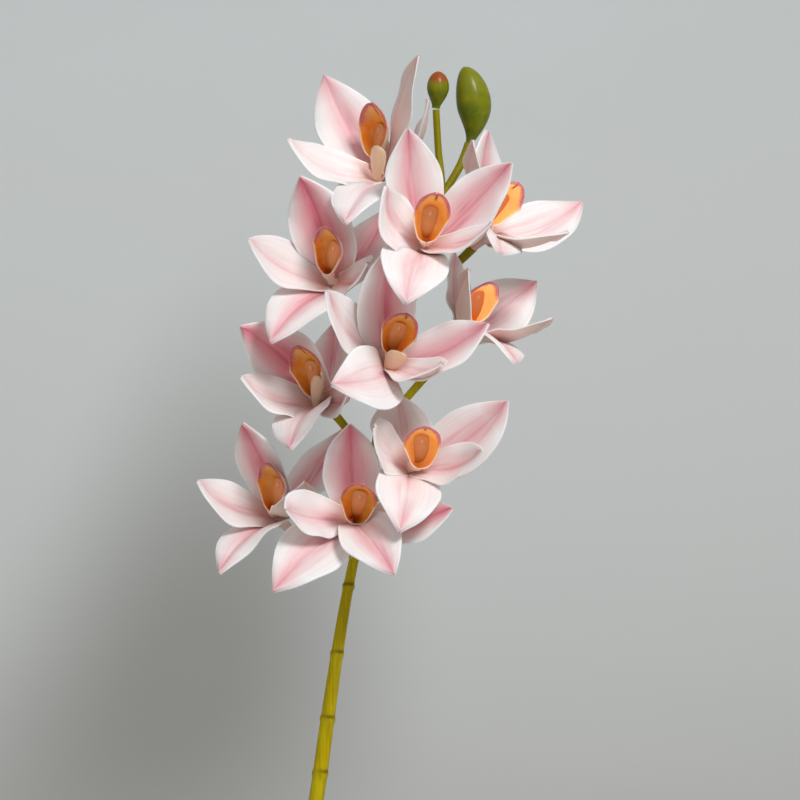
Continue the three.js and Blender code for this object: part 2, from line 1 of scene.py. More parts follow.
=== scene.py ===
"""A potted orchid: a cymbidium whose leaning spike carries open pink blooms above strap leaves.

Every piece is made in mesh code from named sizes in millimetres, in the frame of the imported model: +Z up, the
blooms facing the front, -Y. Each operator makes one piece, or one group of like pieces.
"""
import math
import random
from functools import partial

import bpy
from bpy.props import FloatProperty, FloatVectorProperty, IntProperty, PointerProperty
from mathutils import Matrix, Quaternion, Vector, noise


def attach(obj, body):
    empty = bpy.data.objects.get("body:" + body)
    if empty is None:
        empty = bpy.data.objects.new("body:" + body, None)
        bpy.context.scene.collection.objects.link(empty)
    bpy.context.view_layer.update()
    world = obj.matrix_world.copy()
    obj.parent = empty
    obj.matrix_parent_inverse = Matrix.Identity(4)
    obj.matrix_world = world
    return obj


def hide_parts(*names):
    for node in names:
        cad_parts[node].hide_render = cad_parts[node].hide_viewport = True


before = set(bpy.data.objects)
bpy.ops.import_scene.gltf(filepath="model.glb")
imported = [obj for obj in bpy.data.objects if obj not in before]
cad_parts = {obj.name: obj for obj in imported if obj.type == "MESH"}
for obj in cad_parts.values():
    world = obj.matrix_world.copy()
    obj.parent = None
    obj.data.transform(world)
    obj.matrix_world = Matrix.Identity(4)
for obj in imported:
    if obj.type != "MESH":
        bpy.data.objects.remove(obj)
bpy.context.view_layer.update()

bl_info = {
    "name": "Potted Orchid",
    "version": (1, 0, 0),
    "blender": (4, 5, 0),
    "location": "View3D > Sidebar > Orchid",
    "description": "Makes a potted cymbidium piece by piece, with its stage",
    "category": "Add Mesh",
}

MM = 0.001

# ---------------------------------------------------------------- driving dimensions, in millimetres

# The pot: rim and foot are radii, band is the height of the thicker band at its rim, step is how far that
# band stands out, and lift is how high the middle of its underside lies.
POT = {
    "height": 125, "rim": 71, "foot": 52, "wall": 5, "floor": 7, "band": 10, "step": 2.2, "lift": 1.2,
    "drains": 4, "drain": 4.5, "drain_ring": 24,
}
# The bark: its chips are heaped on a bed that lies under its top.
BARK = {"top": 112, "heap": 7, "under": 5, "chips": 420, "chip": (22, 12, 5), "ragged": 0.28, "seed": 7}

# The front view that the flowers' places are read in: its eye is level with the middle of the spray.
VIEW_RANGE = 1500
VIEW_HEIGHT = 470
VIEW_MIDDLE = 50
VIEW_WIDTH = 400

SPIKE_LINE = [
    (-8, 8, 98), (-7.5, 8, 130), (-6, 8, 165), (-3, 7, 200), (1.5, 6, 235), (8, 5, 270), (13.5, 5, 309),
    (18.5, 5, 343.5), (24, 5, 376), (28, 5, 395), (33, 5, 415), (37, 5, 442.5), (42, 5, 470), (48, 5, 497.5),
    (55, 4, 522.5), (63, 3, 545), (69, 2, 562.5), (70.8, 3, 577.5), (69.2, 4, 595), (68, 4, 615.5),
]
SPIKE_GIRTH = [(98, 9.2), (300, 7.3), (387, 5), (616, 3.4)]  # (height, diameter)
RINGS = [150, 182, 216, 250, 282.5, 310, 342.5, 376.5]  # heights of the leaf scars round the stem
# A leaf scar: how far it stands out and half its height, and how high above it its dark line lies, with half
# that line's height.
SCAR = {"proud": 0.55, "half": 1.3, "shade_above": 1.4, "shade_half": 0.7}
# A flower's stalk: its diameters, the collar where it leaves the spike, and how far each of its ends reaches
# straight on, as a share of its length.
STALK = {"root": 4, "end": 4.8, "collar": 0.9, "collar_share": 0.07, "pull": 0.45}
OVARY = {"length": 9, "root": 4.6, "crown": 8, "top": 3}
GAP = 0.3

# Each bloom: its throat (x, z, depth), the way it faces (degrees to the right, and up), the height at which
# its stalk leaves the spike, its lip's mouth (foot, top, and how many degrees to the right it looks), the
# tongue before the mouth (x and z of its end, and its width), its painted glow (painted light: how much
# paler its lip is painted, where the light falls into it, and how much it glows as if lit from behind),
# and its tepals: (kind, tip x, tip z, reach, width, sweep, turn, rosiness).
BLOOMS = {
    "bloom_a": {
        "throat": (42.5, 580, -8), "faces": (-25, 40), "stalk": 553, "mouth": ((36, 593), (36, 618.5), -38),
        "tongue": (39, 597, 10.5), "glow": 0.0,
        "tepals": [
            ("sepal", 60, 642, 66, 27, 3, 160, 0.45), ("sepal", 12, 632.5, -62, 33, -2, 0, 0.6),
            ("petal", -5.5, 601, 56, 28, -3, 0, 0.05), ("sepal", 22.5, 558.5, 58, 30, 0, 0, 0.35),
            ("petal", 63.5, 620.5, 56, 24, 0, -15, 0.3),
        ],
    },
    "bloom_b": {
        "throat": (62, 546, -42), "faces": (8, 28), "stalk": 533, "mouth": ((63.5, 551), (68.5, 573.5), 6),
        "glow": 0.45,
        "tepals": [
            ("sepal", 54, 605.5, 60, 30, 0, 0, 0.7), ("petal", 43.5, 577, 48, 30, -5, 0, 0.2),
            ("sepal", 53, 518.5, 58, 34, 2, 0, 0.3), ("petal", 95.5, 559, 56, 26, 0, -15, 0.5),
            ("sepal", 105.5, 588.5, 61.5, 28, 0, 0, 0.8),
        ],
    },
    "bloom_c": {
        "throat": (92, 552, -6), "faces": (44, 36), "stalk": 520, "mouth": ((96, 559), (109, 578.5), 15),
        "glow": 1.0,
        "tepals": [
            ("sepal", 94, 605, 53.5, 30, 1, 0, 0.4), ("petal", 87, 600, 57, 28, -4, 35, 0.3),
            ("sepal", 100, 543.5, 54, 28, 0, 0, 0.3), ("petal", 134, 554.5, 57, 29, 4, 0, 0.25),
            ("sepal", 141.5, 569.5, -57, 29, 4, 0, 0.4),
        ],
    },
    "bloom_d": {
        "throat": (17.5, 527, -12), "faces": (-20, 32), "stalk": 495, "mouth": ((12, 535), (14, 556), -40),
        "glow": 0.0,
        "tepals": [
            ("sepal", 0, 581.5, 61, 33, 2, 0, 1.0), ("petal", -25, 550.5, 56, 30, 0, 0, 0.1),
            ("sepal", -15, 499, 58, 32, 0, 0, 0.45), ("petal", 33, 539, 50, 26, 0, 0, 0.3),
            ("sepal", 43.5, 566.5, -49, 28, 2, 0, 0.8),
        ],
    },
    "bloom_e": {
        "throat": (44, 486.5, -40), "faces": (8, 38), "stalk": 474, "mouth": ((46, 494), (53.5, 513), 4),
        "tongue": (50, 494, 11), "glow": 0.3,
        "tepals": [
            ("sepal", 43, 544, 60, 30, 0, 0, 0.8), ("petal", 14, 524.5, 57, 30, 0, 0, 0.1),
            ("sepal", 16, 478, 58, 34, -4, -30, 0.35), ("petal", 71, 489, 52, 26, 0, 0, 0.5),
            ("sepal", 94, 508.5, 58, 32, 2, 0, 0.75),
        ],
    },
    "bloom_f": {
        "throat": (11, 468.5, -8), "faces": (-30, 25), "stalk": 437, "mouth": ((6, 473.5), (-1, 497), -26),
        "tongue": (8.8, 482, 7), "glow": 0.0,
        "tepals": [
            ("sepal", -29.5, 506.5, 58, 32, 3, 0, 0.95), ("petal", -29, 482, 55, 30, -2, 0, 0.12),
            ("sepal", -5, 445.5, 57, 30, 0, 0, 0.45), ("petal", 23.5, 474.5, 50, 24, 0, 0, 0.6),
            ("sepal", 17.5, 510, -45, 26, 0, 0, 0.7),
        ],
    },
    "bloom_g": {
        "throat": (26.5, 409, -38), "faces": (-3, 30), "stalk": 391, "mouth": ((27.5, 410), (30.5, 428), -6),
        "glow": 0.3,
        "tepals": [
            ("sepal", 25, 457.5, 51, 29, 0, 0, 1.0), ("petal", -6.5, 415.5, 53, 28, 2, -10, 0.45),
            ("sepal", -13.5, 374.5, 63, 33, 0, 0, 0.45), ("petal", 47, 383, 57, 30, 0, 0, 0.5),
            ("sepal", 76, 416, 52, 28, 2, 0, 0.95),
        ],
    },
    "bloom_h": {
        "throat": (-10.5, 411, -4), "faces": (-32, 33), "stalk": 398,
        "mouth": ((-15, 416), (-15.5, 438), -40), "glow": 0.0,
        "tepals": [
            ("sepal", -29, 458, 58, 30, 0, 0, 0.95), ("petal", -50.5, 430, 52, 29, -2, 0, 0.2),
            ("sepal", -40.5, 383.5, 57, 26, 0, 0, 0.55), ("petal", 2, 429.5, 48, 24, 0, -55, 0.2),
            ("sepal", 22.5, 456.5, -58, 28, 0, 0, 0.7),
        ],
    },
    "bloom_i": {
        "throat": (83, 502, 0), "faces": (50, 36), "stalk": 455, "mouth": ((89.5, 510), (94, 528.5), 24),
        "glow": 1.0,
        "tepals": [
            ("sepal", 77.5, 544, 44, 28, 0, 0, 0.6), ("petal", 85, 535.5, 54, 27, -3, 0, 0.3),
            ("sepal", 108, 488.5, 56, 28, 0, 0, 0.3), ("petal", 126, 511.5, 55, 27, 0, 0, 0.2),
            ("sepal", 118.5, 529.5, -54, 31, 0, 0, 0.5),
        ],
    },
    "bloom_j": {
        "throat": (54.5, 435, -32), "faces": (12, 26), "stalk": 418, "mouth": ((60, 437.5), (62.5, 456.5), 4),
        "glow": 0.6,
        "tepals": [
            ("sepal", 48.5, 474, -44, 32, 0, 0, 0.2), ("petal", 38, 456.5, 48, 28, 0, 0, 0.15),
            ("sepal", 50, 404.5, 58, 33, 0, 0, 0.25), ("petal", 90.5, 445, 55, 25, 0, 0, 0.45),
            ("sepal", 103.5, 469.5, 60.5, 32, 3, 0, 0.65),
        ],
    },
}
# A tepal: the width of its foot and the place where it is widest, as shares, how blunt its tip is, where its
# root stands (out from the axis, and along it for each kind), and its groove's width, its swell and its
# margin's roll.
TEPAL = {
    "claw": 0.46, "widest": 0.5, "blunt": 1.95, "root": 2.2, "petal": 2.4, "sepal": -1.8, "groove": 0.15,
    "swell": 0.9, "roll": 1.2,
}
# How far a tepal's belly lies before (+) or behind (-) its chord, as a share of the chord.
BOW = {"sepal": -0.05, "petal": -0.12, "lower": 0.1}
CUP = {"sepal": 0.5, "petal": 0.72}  # half the arc that a tepal is curled through across, in radians
# The lip: how far from the throat its root is, and the foot and the top of its mouth; how deep its neck, its
# tube and its scoop are; where up its back it opens and is widest, as shares; its mouth's width there, and
# while shut; how many degrees its mouth looks down; and its thickness, how much thinner its rim is, and the
# rim's wave and flare.
LIP = {
    "root": 3.8, "foot": 15, "top": 41, "neck": 2.8, "tube": 5.4, "deep": 8, "opens": 0.25, "widest": 0.68,
    "width": 15.8, "slit": 0.2, "down": 15, "middle": 1.1, "thinner": 0.5, "wave": 0.3, "flare": 0.9,
}
# The tongue: how far before the mouth its end lies, how far it bows, half the arc that it is curled through,
# how narrow its foot is and where it is full, as shares, its thickness and how much thinner its margin is.
TONGUE = {"proud": 3.5, "bend": 2.5, "curl": 0.9, "foot": 0.4, "full": 0.6, "middle": 0.8, "thinner": 0.35}
# The column: the shares of the lip's line that it runs along, its widths, the share where it is widest, its
# depth before and behind its middle as shares of half its width, what it clears the lip's back by, the turn
# that looks out, and its anther cap.
COLUMN = {
    "from": 0.2, "to": 0.7, "root": 3.4, "head": 9.6, "full": 0.7, "front": 0.23, "back": 0.155,
    "clear": 0.4, "face": -1.5708, "cap": 0.8, "cap_proud": 0.9,
}

# A bud: how much wider its root is, its radius near its ends, how much its very tip narrows, and how deep and
# how wide its seams are.
BUD = {"root": 1.5, "end": 0.5, "point": 0.45, "seam": 0.25, "seam_turn": 0.12}
BUDS = {
    "bud_top": {"line": ((67.9, 4, 616.2), (69.4, 3, 625), (69, 1, 634.5)), "girth": 11.2, "belly": 0.58},
    "bud_side": {
        "line": ((85, 11, 599.5), (91, 11, 617), (82, 8, 637.5)), "girth": 17.6, "belly": 0.55, "stalk": 570,
    },
}

# A bulb: the rows of its mesh, the radius of its neck, and its ribs and their height.
BULB = {"rows": 28, "neck": 4, "ribs": 9, "rib": 0.3}
# A leaf: how far from the bulb's axis it stands, its thickness and how much thinner its margins are, half the
# arc that its foot is curled through and how much flatter its tip is, its groove, and how far it may sway.
LEAF = {"foot": 2.5, "thick": 1.1, "thinner": 0.5, "curl": 0.95, "flatter": 0.55, "groove": 0.8, "sway": 4}
COLLAR = [(0, 0), (4.4, 0), (4.2, 2), (3.6, 5), (3.4, 7), (0, 7)]  # the leaves stand in it: (radius, height)
# Each shoot: where its bulb stands, the bulb's radius and height, how deep it stands, and its leaves as
# (direction in degrees from +X, reach, rise, drop below its root at the tip, width).
SHOOTS = {
    "shoot_right": {
        "at": (27, -14), "radius": 17, "height": 44, "sunk": 9,
        "leaves": [
            (-82, 150, 88, 30, 22), (-50, 205, 82, 36, 24), (-14, 235, 84, 52, 25), (20, 205, 78, 34, 23),
        ],
    },
    "shoot_left": {
        "at": (-34, -4), "radius": 16, "height": 40, "sunk": 8,
        "leaves": [
            (164, 215, 84, 40, 24), (196, 230, 80, 56, 25), (228, 185, 86, 34, 23), (258, 150, 78, 36, 21),
        ],
    },
    "shoot_back": {
        "at": (4, 37), "radius": 14, "height": 36, "sunk": 8,
        "leaves": [(46, 190, 72, 36, 23), (84, 200, 66, 50, 24), (124, 190, 72, 34, 23)],
    },
}

# The backdrop, a dish that is flat in the middle, and the lights, in metres. The key and the fill look at the
# middle of the spray, and the wash looks at the backdrop behind it.
DISH = {"rings": 48, "sides": 96, "flat": 1.2, "rise": 3.6}
KEY = {"size": 0.6, "place": Vector((0.75, -1.5, 1.3))}
FILL = {"size": 2.5, "place": Vector((-1.6, -2.0, 0.4))}
WASH = {"size": 2.5, "place": Vector((0.1, 1.4, 3.4)), "aim": Vector((0.3, 4, -1.4))}
SKY = (0.985, 0.985, 0.99, 1.0)

# ---------------------------------------------------------------- lines


def bezier(*points):
    """A Bezier curve of any degree through its first and last points, as a function of its share t."""
    def at(t):
        row = points
        while len(row) > 1:
            row = [a.lerp(b, t) for a, b in zip(row, row[1:])]
        return row[0]
    return at


def through(points):
    """A smooth curve through points, as a centripetal Catmull-Rom spline."""
    ends = [2 * points[0] - points[1], *points, 2 * points[-1] - points[-2]]

    def at(t):
        share = t * (len(points) - 1)
        i = min(max(int(share), 0), len(points) - 2)
        w = share - i
        p0, p1, p2, p3 = ends[i:i + 4]
        d0, d1, d2 = (max((b - a).length ** 0.5, 1e-4) for a, b in ((p0, p1), (p1, p2), (p2, p3)))
        m1 = ((p1 - p0) / d0 - (p2 - p0) / (d0 + d1) + (p2 - p1) / d1) * d1
        m2 = ((p2 - p1) / d1 - (p3 - p1) / (d1 + d2) + (p3 - p2) / d2) * d1
        return p1 + w * m1 + w**2 * (3 * (p2 - p1) - 2 * m1 - m2) + w**3 * (2 * (p1 - p2) + m1 + m2)
    return at


def tangent(line, t):
    """The direction of a line at its share t."""
    low, high = max(0, t - 1e-4), min(1, t + 1e-4)
    return (line(high) - line(low)).normalized()


def squared(direction, other):
    """The part of a direction that is square to another, at unit length."""
    return (direction - other * (direction.dot(other) / other.length_squared)).normalized()


def facing(face):
    """The width of a sheet whose inner side looks the way that face points."""
    return lambda along: along.cross(face).normalized()


def ring_point(radius, turn, height):
    """The point at a radius, a turn and a height."""
    return Vector((radius * math.cos(turn), radius * math.sin(turn), height))


def smooth(t, low=0.0, high=1.0):
    """0 below low and 1 above high, with a smooth step between."""
    share = min(max((t - low) / (high - low), 0), 1)
    return share * share * (3 - 2 * share)


# ---------------------------------------------------------------- meshes


class Shell:
    """The points and faces of one piece, in millimetres, with named values at each point."""

    def __init__(self, *names):
        self.points = []
        self.faces = []
        self.values = {name: [] for name in names}

    def add(self, points, faces, **values):
        """Adds points and faces. A value is a list with one for each point, or one number for them all."""
        start = len(self.points)
        self.points += points
        self.faces += [tuple(start + i for i in face) for face in faces]
        for name, kept in self.values.items():
            given = values.get(name, 0.0)
            kept += given if isinstance(given, list) else [float(given)] * len(points)

    def piece(self, name, material, *nodes, slot, crease=55):
        """Makes the piece's object, which stands for the CAD nodes and rides on the one body."""
        mesh = bpy.data.meshes.new(name)
        mesh.from_pydata([point * MM for point in self.points], [], self.faces)
        mesh.validate()
        mesh.shade_smooth()
        mesh.set_sharp_from_angle(angle=math.radians(crease))
        for key, values in self.values.items():
            mesh.attributes.new(key, "FLOAT", "POINT").data.foreach_set("value", values)
        mesh.materials.append(material)
        piece = bpy.data.objects.new(name, mesh)
        bpy.context.scene.collection.objects.link(piece)
        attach(piece, "root")
        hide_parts(*nodes)
        return piece


def grid(rows, cols, first=0, flip=False):
    """The faces between (rows + 1) by (cols + 1) points."""
    faces = []
    for i in range(rows):
        for j in range(cols):
            a = first + i * (cols + 1) + j
            face = (a, a + 1, a + cols + 2, a + cols + 1)
            faces.append(face[::-1] if flip else face)
    return faces


def bands(first, rows, sides):
    """The faces between rings of points, each of which has as many points as there are sides."""
    faces = []
    for i in range(first, first + rows * sides, sides):
        for k in range(sides):
            a, n = i + k, i + (k + 1) % sides
            faces.append((a, n, n + sides, a + sides))
    return faces


def add_sheet(shell, line, across, half, curl, thick, rows, cols, relief=None, **values):
    """A thin closed sheet that follows a line, half(t) wide to each side and curled up through curl(t).

    Relief(t, s) lifts it, and thick(t, s) is its thickness, where s runs from -1 to 1 across it.
    """
    front, back, alongs, acrosses = [], [], [], []
    for i in range(rows + 1):
        t = i / rows
        middle = line(t)
        along = tangent(line, t)
        side = across(along)
        up = side.cross(along).normalized()
        radius = half(t) / curl(t)
        for j in range(cols + 1):
            s = 2 * j / cols - 1
            arc = curl(t) * s
            out = up * math.cos(arc) - side * math.sin(arc)
            point = middle + side * (radius * math.sin(arc)) + up * (radius * (1 - math.cos(arc)))
            if relief:
                point += out * relief(t, s)
            front.append(point + out * (thick(t, s) / 2))
            back.append(point - out * (thick(t, s) / 2))
            alongs.append(t)
            acrosses.append(s)
    count = len(front)
    faces = grid(rows, cols) + grid(rows, cols, first=count, flip=True)
    row = cols + 1
    border = [*range(row), *range(2 * row - 1, count, row), *range(count - 2, count - row - 1, -1)]
    border += range(count - 2 * row, 0, -row)
    for a, b in zip(border, border[1:] + border[:1]):
        faces.append((a, a + count, b + count, b))
    shell.add(front + back, faces, along=alongs * 2, across=acrosses * 2,
              inside=[1.0] * count + [0.0] * count, **values)


def add_tube(shell, line, radius, rows, sides, side=Vector((1, 0, 0)), **values):
    """A closed round limb along a line. Radius(t, turn) is its radius at a share and a turn round it."""
    points, alongs, turns = [], [], []
    across = side
    for i in range(rows + 1):
        t = i / rows
        along = tangent(line, t)
        across = squared(across, along)
        other = along.cross(across)
        for k in range(sides):
            turn = 2 * math.pi * k / sides
            points.append(line(t) + (across * math.cos(turn) + other * math.sin(turn)) * radius(t, turn))
            alongs.append(t)
            turns.append(turn)
    faces = bands(0, rows, sides)
    faces += [tuple(range(sides - 1, -1, -1)), tuple(range(rows * sides, (rows + 1) * sides))]
    given = {"along": alongs, "across": [math.sin(turn) for turn in turns]}
    shell.add(points, faces, **{**given, **values})


def add_lathe(shell, profile, sides, at=(0, 0, 0), bulge=None, **values):
    """A closed turned form. Its profile, (radius, height), starts and ends on the axis.

    Bulge(share, turn) is added to its radius.
    """
    centre = Vector(at)
    rings = profile[1:-1]
    points = [centre + Vector((0, 0, profile[0][1])), centre + Vector((0, 0, profile[-1][1]))]
    alongs = [0.0, 1.0]
    for i, (radius, height) in enumerate(rings):
        share = (i + 1) / (len(rings) + 1)
        for k in range(sides):
            turn = 2 * math.pi * k / sides
            points.append(centre + ring_point(radius + (bulge(share, turn) if bulge else 0), turn, height))
            alongs.append(share)
    faces = bands(2, len(rings) - 1, sides)
    last = 2 + (len(rings) - 1) * sides
    for k in range(sides):
        n = (k + 1) % sides
        faces.append((0, 2 + n, 2 + k))
        faces.append((1, last + k, last + n))
    shell.add(points, faces, **{"along": alongs, **values})


# ---------------------------------------------------------------- materials


def colour(code):
    """An sRGB hex colour, such as "f3d3d4", as linear red, green, blue and 1."""
    parts = [int(code[i:i + 2], 16) / 255 for i in (0, 2, 4)]
    return (*(c / 12.92 if c <= 0.04045 else ((c + 0.055) / 1.055) ** 2.4 for c in parts), 1.0)


def add_node(tree, kind, *inputs, out=0, **named):
    """Adds a node and returns one of its outputs.

    Inputs are the values of its sockets in order, or the sockets that feed them. A named value that starts
    with a capital is a socket too, with _ for a space, and any other is a setting of the node.
    """
    node = tree.nodes.new("ShaderNode" + kind)
    sockets = dict(enumerate(inputs))
    for key, value in named.items():
        if key[0].isupper():
            sockets[key.replace("_", " ")] = value
        else:
            setattr(node, key, value)
    for key, value in sockets.items():
        if isinstance(value, bpy.types.NodeSocket):
            tree.links.new(value, node.inputs[key])
        elif value is not None:
            node.inputs[key].default_value = value
    return node.outputs[out] if node.outputs else None


def begin(name, *values):
    """A new material, the function that adds nodes to it, and the named values of the mesh's points."""
    material = bpy.data.materials.new(name)
    material.use_nodes = True
    material.node_tree.nodes.clear()
    add = partial(add_node, material.node_tree)
    return material, add, [add("Attribute", attribute_name=value, out="Fac") for value in values]


def grain(add, at, scale, detail=2, roughness=0.5):
    """Noise that is stretched by the scale on each axis."""
    stretched = add("VectorMath", at, scale, operation="MULTIPLY")
    return add("TexNoise", Vector=stretched, Scale=1, Detail=detail, Roughness=roughness)


def layered(add, settings, base, *layers):
    """A colour of the settings with others laid over it in turn, each by the product of its shares."""
    shade = (*getattr(settings, base), 1)
    for share, *others, name in layers:
        for other in others:
            share = add("Math", share, other, operation="MULTIPLY")
        # A Mix node's colours are its sockets 6 and 7, and its mixed colour is its output 2.
        shade = add("Mix", share, *[None] * 5, shade, (*getattr(settings, name), 1), out=2, data_type="RGBA")
    return shade


def surface(material, add, **inputs):
    """Ends a material with its surface shader."""
    add("OutputMaterial", add("BsdfPrincipled", **inputs))
    return material


def tepal_tissue(settings):
    """Waxy petal tissue: a soft satin skin over pale flesh that light sinks into.

    The eye sees a warm white blade, brushed with rose along its middle in soft lengthwise strokes, with fine
    veins, a white margin that is partly a painted highlight, and a creamy foot that is partly painted shade
    where the tepals meet in the throat. Rosiness is each tepal's own.
    """
    material, add, values = begin("waxy_petal_tissue", "across", "along", "rosy", "inside", "seed")
    across, along, rosy, inside, seed = values
    spread = add("Math", across, operation="ABSOLUTE")
    at = add("CombineXYZ", across, along, seed)
    # Strokes 4 to 6 mm apart on a 30 mm blade, and veins 1.5 mm apart, twice as coarse as the real ones.
    strokes = grain(add, at, (3.6, 1.5, 1), detail=2.5, roughness=0.6)
    veins = grain(add, at, (12, 0.9, 1), detail=2.5, roughness=0.6)
    broad = grain(add, at, (0.9, 1.3, 1), detail=1)
    # The wash: a soft band along the middle, wider and stronger on a rosy blade, and never quite even.
    reach = add("MapRange", rosy, 0, 1, 0.45, 1.15)
    band = add("MapRange", spread, 0, reach, 1, 0, interpolation_type="SMOOTHSTEP")
    least = add("MapRange", rosy, 0.2, 1, 0.1, 0.8)
    cloud = add("MapRange", broad, 0.36, 0.62, least, 1)
    strength = add("MapRange", rosy, 0, 1, 0.25, 1)
    # The strokes: deeper rose, in the middle of the blade only, stronger towards the foot.
    stroke = add("MapRange", strokes, 0.46, 0.64, 0, 1, interpolation_type="SMOOTHSTEP")
    inner = add("MapRange", spread, 0.1, 0.62, 1, 0, interpolation_type="SMOOTHSTEP")
    faded = add("MapRange", along, 0.25, 0.95, 0.75, 0.15)
    # The crease: a thin rosy line in the groove.
    crease = add("MapRange", spread, 0.01, 0.09, 0.3, 0, interpolation_type="SMOOTHSTEP")
    tip = add("MapRange", along, 0.78, 1, 0, 0.75)
    vein = add("MapRange", veins, 0.5, 0.66, 0, 0.2)
    # The foot: a warm brownish pink, partly the tepal's own and partly painted shade where the tepals meet in
    # the throat.
    claw = add("MapRange", along, 0.02, 0.3, 0.8, 0, interpolation_type="SMOOTHSTEP")
    # The margin: whiter, partly the blade's own pale edge and partly a painted highlight of the light through
    # its thin edge.
    rim = add("MapRange", spread, 0.9, 0.98, 0, 0.85)
    reverse = add("MapRange", inside, 0, 1, 0.65, 0)
    shade = layered(
        add, settings, "petal", (band, cloud, strength, "blush"), (vein, "vein"),
        (stroke, inner, faded, strength, "streak"), (crease, strength, "streak"), (tip, strength, "streak"),
        (claw, "claw"), (reverse, "reverse"), (rim, "margin"))
    bump = add("Bump", Strength=0.2, Distance=0.12 * MM, Height=veins)
    return surface(
        material, add, Base_Color=shade, Roughness=0.5, IOR=1.42, Specular_IOR_Level=0.35,
        Subsurface_Weight=0.5, Subsurface_Radius=(1, 0.55, 0.45), Subsurface_Scale=2.2 * MM, Normal=bump)


def lip_tissue(settings):
    """Glossy waxy lip: amber flesh inside the scoop, a creamy band above it and a feathered magenta rim.

    The eye sees the wet look of the throat, a short dark line under the top of the rim, and a pale outside.
    """
    material, add, values = begin(
        "glossy_lip_tissue", "across", "along", "inside", "tongue", "glow", "edge")
    across, along, inside, tongue, glow, edge = values
    place = add("TexCoord", out="Object")
    # Mottling of 4 mm, and feathering of 1 mm along the rim.
    mottle = add("TexNoise", Vector=place, Scale=240, Detail=2)
    feather = add("TexNoise", Vector=place, Scale=900, Detail=2)
    light = add("MapRange", mottle, 0.4, 0.65, 0, 0.5)
    low = add("MapRange", along, 0.25, 0.6, 0.8, 0)
    cream = add("MapRange", along, 0.7, 0.86, 0, 0.75)
    # The rim: how far a point is from the edge, in millimetres, made ragged by the feathering.
    ragged = add("Math", feather, 3, -1.5, operation="MULTIPLY_ADD")
    margin = add("Math", edge, ragged, operation="ADD")
    band = add("MapRange", margin, 0.4, 2.9, 0.95, 0)
    high = add("MapRange", along, 0.55, 0.8, 0, 1)
    pale = add("MapRange", edge, 0.25, 0.9, 0.9, 0)
    not_high = add("MapRange", high, 0, 1, 1, 0.15)
    beside = add("Math", across, 0.1, operation="SUBTRACT")
    beside = add("Math", beside, operation="ABSOLUTE")
    crease = add("MapRange", beside, 0.06, 0.12, 0.9, 0)
    top = add("MapRange", along, 0.78, 0.88, 0, 1)
    # The veil: one flank is flushed with dusky pink well inside its rim. It is the lip's own pink, laid on
    # strongly only on the lips with little painted glow, which look away from the light, so it is partly
    # painted shade.
    flushed = add("MapRange", glow, 0, 0.4, 0.6, 0.12)
    flank = add("MapRange", across, -0.95, -0.35, flushed, 0)
    # Painted light: a lip with more painted glow is painted paler and more peach inside, standing in for the
    # light that falls into its mouth.
    peach = add("MapRange", glow, 0.3, 1, 0, 0.75)
    outer = add("Math", 1, inside, operation="SUBTRACT")
    shade = layered(
        add, settings, "lip", (light, "lip_light"), (low, "lip_deep"), (cream, "lip_light"),
        (peach, "lip_peach"), (flank, high, "lip_veil"), (outer, "lip_edge"), (band, high, "lip_rim"),
        (pale, not_high, "lip_edge"), (crease, top, "lip_crease"), (tongue, "tongue"))
    # Painted light: the lip glows with its own colour, though it is no lamp, standing in for the light that
    # comes through a thin, pale lip from behind, which a closed sheet would hold back.
    behind = add("MapRange", glow, 0.3, 1, 0, 0.5)
    behind = add("Math", behind, inside, operation="MULTIPLY")
    return surface(
        material, add, Base_Color=shade, Roughness=0.36, IOR=1.42, Subsurface_Weight=0.85,
        Subsurface_Radius=(1, 0.45, 0.16), Subsurface_Scale=4 * MM, Coat_Weight=0.15, Coat_Roughness=0.2,
        Emission_Color=shade, Emission_Strength=behind)


def column_tissue(settings):
    """Smooth waxy column: pinkish orange and glossy, with the pale cap of its anther near the top.

    The cap's pale colour is partly its own and partly a painted highlight.
    """
    material, add, (cap, along) = begin("smooth_column_tissue", "cap", "along")
    low = add("MapRange", along, 0.1, 0.6, 0.8, 0)
    # The cap: pale, partly its own colour and partly a painted highlight.
    shade = layered(add, settings, "column", (low, "lip_deep"), (cap, "cap"))
    return surface(
        material, add, Base_Color=shade, Roughness=0.3, IOR=1.42, Subsurface_Weight=0.4,
        Subsurface_Radius=(1, 0.45, 0.2), Subsurface_Scale=2.5 * MM, Coat_Weight=0.35, Coat_Roughness=0.18)


def green_stem(settings):
    """Fleshy green stem: a satin skin, darker and greener among the blooms, with fine fibres and dark leaf
    scars.
    """
    material, add, (ring,) = begin("satin_green_stem", "ring")
    place = add("TexCoord", out="Object")
    # Fibres 0.5 mm apart round the stem and some 30 mm long.
    fibres = grain(add, place, (900, 900, 40))
    patches = add("TexNoise", Vector=place, Scale=45, Detail=2)
    patch = add("MapRange", patches, 0.35, 0.65)
    line = add("MapRange", fibres, 0.35, 0.7, 0, 0.4)
    height = add("SeparateXYZ", place, out="Z")
    # Darker and greener above 0.38 m, among the blooms.
    among_blooms = add("MapRange", height, 0.38, 0.54, 0, 0.75)
    shade = layered(
        add, settings, "stem", (patch, "stem_light"), (among_blooms, "stem_young"), (line, "stem_dark"),
        (ring, "stem_dark"))
    bump = add("Bump", Strength=0.3, Distance=0.1 * MM, Height=fibres)
    return surface(
        material, add, Base_Color=shade, Roughness=0.42, IOR=1.45, Specular_IOR_Level=0.15,
        Subsurface_Weight=0.12, Subsurface_Radius=(0.6, 1, 0.2), Subsurface_Scale=1.2 * MM, Normal=bump)


